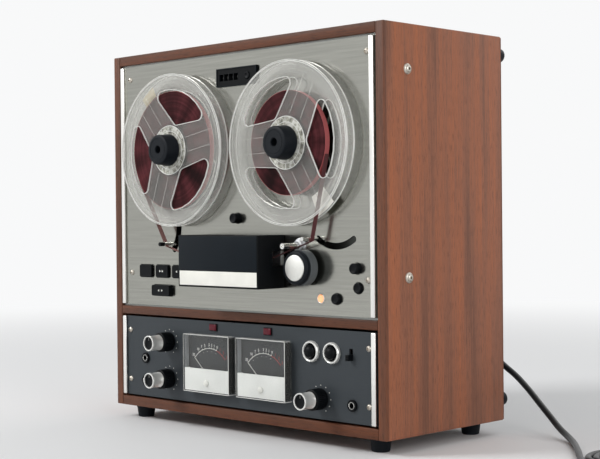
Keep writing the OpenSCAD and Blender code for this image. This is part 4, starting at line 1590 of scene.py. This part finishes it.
class DECK_OT_counter(bpy.types.Operator):
    """Tape counter with its number wheels"""

    bl_idname = "deck.counter"
    bl_label = "Tape counter"

    def execute(self, context):
        paint(black_matt(), "counter_case", "counter_units_wheel")
        wheels = [COUNTER_UNITS - COUNTER_PITCH * i for i in range(4)]
        x, z, _ = spans("counter_case")
        bezel = plate("counter_bezel", x, z, (-1.7, 1.4), 0.5)
        hollow = plate("hollow", within(x, 1.1), within(z, 1.1), (-3, -0.9))
        windows = [plate("window", around(wheel, 3.3), around(COUNTER_Z, 3.85), (-3, 4)) for wheel in wheels]
        centre = on_front("counter_reset_button")
        reset = turned("hole", centre, [(0, -3), (4.8, -3), (4.8, 4), (0, 4)], 32)
        cut(bezel, hollow, *windows, reset)
        place(bezel, fascia_slate(), "case", "black_plastic")
        for place_value, wheel in enumerate(wheels):
            self.digits(place_value, wheel)
        return {"FINISHED"}

    def digits(self, place_value, x):
        """Ten digits round one wheel, darkened to grey: painted shade, as the wheels sit in shade behind the
        bezel.
        """
        axis = spot(x, COUNTER_AXIS, COUNTER_Z)
        front = axis - Vector((0, COUNTER_R * MM, 0))
        wheel = []
        for value in range(10):
            digit = figure("digit", str(value), 4.2, front)
            turn = Matrix.Rotation(math.radians(36 * value), 4, "X")
            digit.data.transform(Matrix.Translation(axis) @ turn @ Matrix.Translation(-axis))
            wheel.append(digit)
        body = "counter_units" if place_value == 0 else "case"
        place(joined(f"counter_digits_{place_value + 1}", wheel), print_grey(), body, "needle_white")


class DECK_OT_knobs(bpy.types.Operator):
    """Double level knobs with their rings of dots"""

    bl_idname = "deck.knobs"
    bl_label = "Level knobs"

    def execute(self, context):
        for name in ("line", "mic", "output"):
            self.front(f"{name}_knob_front")
            self.rear(f"{name}_knob_rear")
            self.dots(name)
        return {"FINISHED"}

    def front(self, node):
        centre = on_front(node)
        knob = turned(f"{node}_barrel", centre, [
            (0, -29.6), (7.6, -29.6), (7.7, -31.2), (8, -31.5), (8.7, -31.5), (9.1, -31.1), (9.2, -30.4),
            (9.2, -29.4), (8.95, -29), (8.95, -16.6), (9.2, -16.2), (9.2, -15.5), (2.3, -15.4), (2.3, 26),
            (0, 26),
        ], 72)
        place(knob, knob_metal(), node, "nickel", node)
        inset = turned(f"{node}_inset", centre, [
            (0, -30.2), (6.4, -30.2), (7, -30.5), (7.5, -30.1), (7.55, -29.65), (0, -29.65),
        ], 56)
        place(inset, black_satin(), node, "black_gloss")
        x = centre.x / MM
        z = (centre.z - BASE) / MM
        mark = plate(f"{node}_mark", around(x, 0.3), around(z + 5, 1.6), (-30.4, -30.1), 0.05)
        place(mark, print_grey(), node, "needle_white")

    def rear(self, node):
        centre = on_front(node)
        knob = turned(f"{node}_skirt", centre, closed([
            (2.7, -15), (10.4, -15), (11.2, -14.5), (11.5, -13.7), (11.5, -1.8), (11.4, 0.4), (10.8, 1),
            (4, 1), (4, 18), (2.7, 18),
        ]), 2 * sizes().knurls)
        with Editing(knob) as edit:
            edit.pick("FACE", lambda face: self.grooved(face, centre))
            bpy.ops.mesh.inset(thickness=0.1 * MM, depth=-0.4 * MM, use_individual=True)
        place(knob, black_satin(), node, "black_plastic", node, smooth=25)

    def grooved(self, face, centre):
        """True on every second facet of the skirt's side."""
        out = face.calc_center_median() - centre
        if abs(face.normal.y) > 0.3 or math.hypot(out.x, out.z) < 11.3 * MM:
            return False
        if not -13.6 * MM < out.y < -2 * MM:
            return False
        step = math.tau / (2 * sizes().knurls)
        return int(math.floor(math.atan2(out.z, out.x) / step)) % 2 == 0

    def dots(self, name):
        centre = on_front(f"{name}_knob_rear")
        dots = []
        for k in range(11):
            where = centre + outwards(240 - 30 * k) * (14.4 * MM)
            dots.append(turned("dot", where, [(0, 1.4), (0.55, 1.42), (0.6, 1.52), (0, 1.52)], 10))
        place(joined(f"{name}_knob_dots", dots), print_white(), "case", "needle_white")


class DECK_OT_meters(bpy.types.Operator):
    """Level meters: clear cover, printed dial, lower mask and needle"""

    bl_idname = "deck.meters"
    bl_label = "Level meters"

    def execute(self, context):
        paint(dial_silver(), "meter_cases")
        for side, x in METERS.items():
            for build in (self.cover, self.face, self.scale, self.mask, self.zero_screw, self.needle):
                build(side, x)
        return {"FINISHED"}

    def cover(self, side, x):
        """Clear box without a back, with painted highlights along its edges: bright ones on the right and
        the front's top and bottom, dull ones on the left and along the top.
        """
        _, (bottom, top), (front, _) = spans("meter_covers")
        cover = plate(f"{side}_meter_cover", around(x, METER_HALF), (bottom, top), (front, 1.4))
        with Editing(cover) as edit:
            edit.pick("FACE", lambda face: face.normal.y > 0.9)
            bpy.ops.mesh.delete(type="FACE")
            edit.pick("EDGE", lambda edge: len(edge.link_faces) == 2)
            bpy.ops.mesh.bevel(offset=0.8 * MM, segments=3, affect="EDGES")
        modify(cover, "SOLIDIFY", thickness=1.4 * MM, offset=-1)
        nodes = ["meter_covers"] if side == "left" else []
        place(cover, cover_clear(), "case", "clear_plastic", *nodes)
        level = around(x, METER_HALF - 0.65)
        upright = (bottom + 0.7, top - 0.7)
        left = around(x - METER_HALF + 0.4, 0.35)
        right = around(x + METER_HALF - 0.4, 0.35)
        rim = (front + 0.1, front + 0.7)
        bright = (
            (right, upright, rim),
            (right, (bottom + 0.1, bottom + 0.9), (front + 0.7, 1.2)),
            (level, (bottom + 0.1, bottom + 0.8), rim),
            (level, (top - 0.7, top - 0.1), rim),
        )
        dull = (
            (level, (top - 0.9, top - 0.1), (front + 0.8, -0.5)),
            (left, upright, rim),
        )
        # Both rows of edge bars are painted highlights in near-white clear plastic.
        for name, material, edges in (("bright", reel_edge(), bright), ("dull", reel_step(), dull)):
            bars = [plate("edge", *edge, 0.2) for edge in edges]
            place(joined(f"{side}_meter_{name}_edges", bars), material, "case", "clear_plastic")

    def face(self, side, x):
        """Dial with side walls painted as lit in grey on the left and as in shade in black on the right."""
        face = plate(f"{side}_dial_face", around(x, 37.1), (54, 93.2), (-2.25, -1.95), 0.1)
        place(face, dial_grey(), "case", "dial")
        for name, material, where in (("wall", wall_grey(), x - 37.4), ("shade", black_matt(), x + 37.4)):
            wall = plate(f"{side}_dial_{name}", around(where, 0.2), (30, 93.4), (-7.9, 1.2), 0.1)
            place(wall, material, "case", "dial")

    def scale(self, side, x):
        """Printed arc with ticks and numbers, red at its loud end."""
        pivot = spot(x, -2.35, PIVOT_Z)
        first, last = SCALE_ENDS
        def angle_at(share):
            return first + (last - first) * share
        def tick(radii, share):
            angle = angle_at(share)
            return arc_band("tick", pivot, radii, (angle + 0.4, angle - 0.4))
        zero = angle_at(SCALE_ZERO)
        white = [arc_band("arc", pivot, around(SCALE_R, 0.3), (first, zero))]
        red = [arc_band("arc", pivot, around(SCALE_R, 0.4), (zero - 0.6, last))]
        for text, share in SCALE_NUMBERS:
            printed = red if share > SCALE_ZERO else white
            printed.append(tick((SCALE_R, SCALE_R + 1.6), share))
            where = pivot + outwards(angle_at(share)) * ((SCALE_R + 4) * MM)
            printed.append(figure("number", text, 3.2, where))
        white += [tick((SCALE_R - 4, SCALE_R - 3), 0.14 * k) for k in range(6)]
        place(joined(f"{side}_dial_scale", white), print_white(), "case", "dial")
        place(joined(f"{side}_dial_red", red), print_red(), "case", "dial")

    def mask(self, side, x):
        """Pale plate over the lower part of the dial."""
        mask = plate(f"{side}_meter_mask", around(x, 37.7), (29.8, 55.8), (-8.25, -7.95), 0.1)
        place(mask, dial_silver(), "case", "dial")

    def needle(self, side, x):
        """Thin pointer on a round hub."""
        body = f"{side}_meter_needle"
        pivot = spot(x, 0, PIVOT_Z)
        hub = turned("hub", pivot, closed([(1.4, -3), (1.4, -4), (2.5, -4), (2.6, -3.9), (2.6, -3)]), 32)
        pointer = block("pointer", Vector((-0.3, -3.9, 2)) * MM, Vector((0.3, -3.4, SCALE_R - 0.4)) * MM)
        with Editing(pointer) as edit:
            edit.pick("FACE", lambda face: face.normal.z > 0.9)
            bpy.ops.transform.resize(value=(0.6, 1, 1))
        lean = Matrix.Rotation(math.radians(90 - SCALE_ENDS[0]), 4, "Y")
        pointer.data.transform(Matrix.Translation(pivot) @ lean)
        place(joined(f"{side}_needle", [hub, pointer]), print_white(), body, "needle_white", body)

    def zero_screw(self, side, x):
        """Slotted screw on the cover that sets the needle's rest."""
        z = 39.5
        screw = turned(f"{side}_zero_screw", spot(x, 0, z), [
            (0, -10.9), (1.4, -10.8), (2.8, -10.3), (3.5, -9.8), (3.6, -9), (3.6, -8.1), (0, -8.1),
        ], 40)
        cut(screw, plate("slot", around(x, 2.6), around(z, 0.4), (-12, -10.3)))
        place(screw, print_white(), "case", "dial")


class DECK_OT_switches(bpy.types.Operator):
    """Record lamps, record select buttons, slide switch and jacks"""

    bl_idname = "deck.switches"
    bl_label = "Lamps, switches and jacks"

    def execute(self, context):
        self.record_lamps()
        for side, x in (("left", 115), ("right", 145.5)):
            self.select(side, x)
        self.slider()
        for number, (x, z) in enumerate(((-166, 60.4), (-166, 33), (174, 32.6))):
            self.jack(number + 1, x, z)
        self.line_sockets()
        return {"FINISHED"}

    def record_lamps(self):
        z = 103.6
        for number, x in ((1, -42.3), (2, 47.9)):
            glass = plate(f"record_lamp_{number}", around(x, 5.7), around(z, 3.6), (-1, 1.5), 0.8)
            nodes = ["indicator_lamps"] if number == 1 else []
            place(glass, red_lens(), "case", "lamp_red", *nodes)
            rim = plate(f"record_lamp_rim_{number}", around(x, 6.3), around(z, 4.2), (0.2, 1.6), 0.4)
            cut(rim, plate("hole", around(x, 5.75), around(z, 3.65), (-1, 3)))
            place(rim, black_satin(), "case", "black_plastic")

    def select(self, side, x):
        """Domed button in a black collar and a bright bezel."""
        centre = spot(x, 0, 85.8)
        bezel = turned(f"{side}_select_bezel", centre, closed([
            (11.6, 1.5), (11.6, -0.6), (11.3, -1.5), (10.7, -2.2), (9.9, -2.4), (9.2, -2), (8.7, -1),
            (8.7, 1.5),
        ]), 64)
        nodes = ["sockets_and_bezels"] if side == "left" else []
        place(bezel, knob_metal(), "case", "nickel", *nodes)
        collar = turned(f"{side}_select_collar", centre, closed([
            (8.6, 1.4), (8.6, -0.6), (7.7, -0.2), (7.7, 1.4),
        ]), 48)
        place(collar, black_matt(), "case", "black_plastic")
        button = turned(f"{side}_select_dome", centre, [
            (0, -6.5), (2, -6.35), (4, -5.7), (5.6, -4.6), (6.7, -3.2), (7.2, -1.5), (7.2, 14), (0, 14),
        ], 48)
        place(button, black_satin(), f"{side}_select_button", "black_gloss", f"{side}_select_button")

    def slider(self):
        """Cap of the slide switch with three grooves across its front."""
        low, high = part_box("monitor_switch")
        slider = block("slide_switch_cap", low, high, 0.4)
        x, (bottom, _), (front, _) = spans("monitor_switch")
        for k in range(3):
            groove = around(bottom + 1.4 + 1.75 * k, 0.3)
            cut(slider, plate("groove", within(x, -1), groove, (front - 1, front + 0.5)))
        place(slider, black_satin(), "monitor_switch", "black_gloss", "monitor_switch")

    def jack(self, number, x, z):
        """Jack with a black collar, a bright bush and a closed sleeve behind it."""
        centre = spot(x, 0, z)
        nut = turned(f"jack_{number}_collar", centre, closed([
            (3.9, 1.4), (3.9, -0.3), (4.4, -0.7), (5.8, -0.9), (6.3, -0.4), (6.4, 1.4),
        ]), 48)
        place(nut, black_satin(), "case", "black_plastic")
        bush = turned(f"jack_{number}_bush", centre, closed([
            (3.25, 0.4), (3.25, -0.6), (3.4, -0.9), (3.7, -0.9), (3.85, -0.6), (3.85, 0.4),
        ]), 48)
        place(bush, trim_metal(), "case", "nickel")
        sleeve = turned(f"jack_{number}_sleeve", centre, [
            (0, 21), (3.25, 21), (3.25, 0.5), (4.9, 2), (4.9, 24), (0, 24),
        ], 32)
        place(sleeve, black_matt(), "case", "black_plastic")

    def line_sockets(self):
        """Two rows of sockets on the back, with a red or a black ring round each."""
        for row, (z, material) in enumerate(((94, black_satin()), (70, socket_red()))):
            shells = []
            rings = []
            for x in range(-90, 36, 25):
                centre = spot(x, REAR, z)
                shells.append(turned("shell", centre, [
                    (0, 7), (1.5, 7), (1.5, 8.9), (3.2, 8.9), (3.2, 8.6), (3.9, 8.8), (4.2, 8.4), (4.2, 1.5),
                    (5.8, 1.5), (5.8, 0), (0, 0),
                ], 32))
                rings.append(turned("ring", centre, closed([
                    (4.3, 0.2), (4.3, 2.6), (4.8, 3), (6.6, 2.6), (7.2, 1.6), (7.4, 0.2),
                ]), 32))
            place(joined(f"line_sockets_{row + 1}", shells), nickel(), "case", "nickel")
            place(joined(f"line_socket_rings_{row + 1}", rings), material, "case", "black_plastic")


class DECK_OT_inside(bpy.types.Operator):
    """Finishes of the works inside the sleeve"""

    bl_idname = "deck.inside"
    bl_label = "Works inside"

    def execute(self, context):
        paint(zinc(), "transport_chassis")
        paint(motor_paint(), "drive_motors")
        paint(core_varnish(), "power_transformer")
        paint(circuit_green(), "amplifier_board")
        paint(steel(), "motor_pulley")
        paint(rubber(), "drive_belt")
        return {"FINISHED"}


class DECK_PT_dressing(bpy.types.Panel):
    """Lists the deck's operators and the values they use"""

    bl_label = "Tape deck"
    bl_space_type = "VIEW_3D"
    bl_region_type = "UI"
    bl_category = "Tape deck"

    def draw(self, context):
        for operator in OPERATORS:
            self.layout.operator(operator.bl_idname)
        for group in (context.scene.deck_colours, context.scene.deck_sizes, context.scene.deck_view):
            for name in group.__annotations__:
                self.layout.prop(group, name)


GROUPS = {"deck_colours": DeckColours, "deck_sizes": DeckSizes, "deck_view": DeckView}
OPERATORS = (
    DECK_OT_stage, DECK_OT_mains_lead, DECK_OT_sleeve, DECK_OT_panels, DECK_OT_reels, DECK_OT_tape_path,
    DECK_OT_keys, DECK_OT_counter, DECK_OT_knobs, DECK_OT_meters, DECK_OT_switches, DECK_OT_inside,
)


def register():
    for name, group in GROUPS.items():
        bpy.utils.register_class(group)
        setattr(bpy.types.Scene, name, PointerProperty(type=group))
    for operator in OPERATORS:
        bpy.utils.register_class(operator)
    bpy.utils.register_class(DECK_PT_dressing)


def unregister():
    bpy.utils.unregister_class(DECK_PT_dressing)
    for operator in reversed(OPERATORS):
        bpy.utils.unregister_class(operator)
    for name, group in GROUPS.items():
        delattr(bpy.types.Scene, name)
        bpy.utils.unregister_class(group)


def main():
    register()
    for operator in OPERATORS:
        group, call = operator.bl_idname.split(".")
        getattr(getattr(bpy.ops, group), call)()


if __name__ == "__main__":
    main()
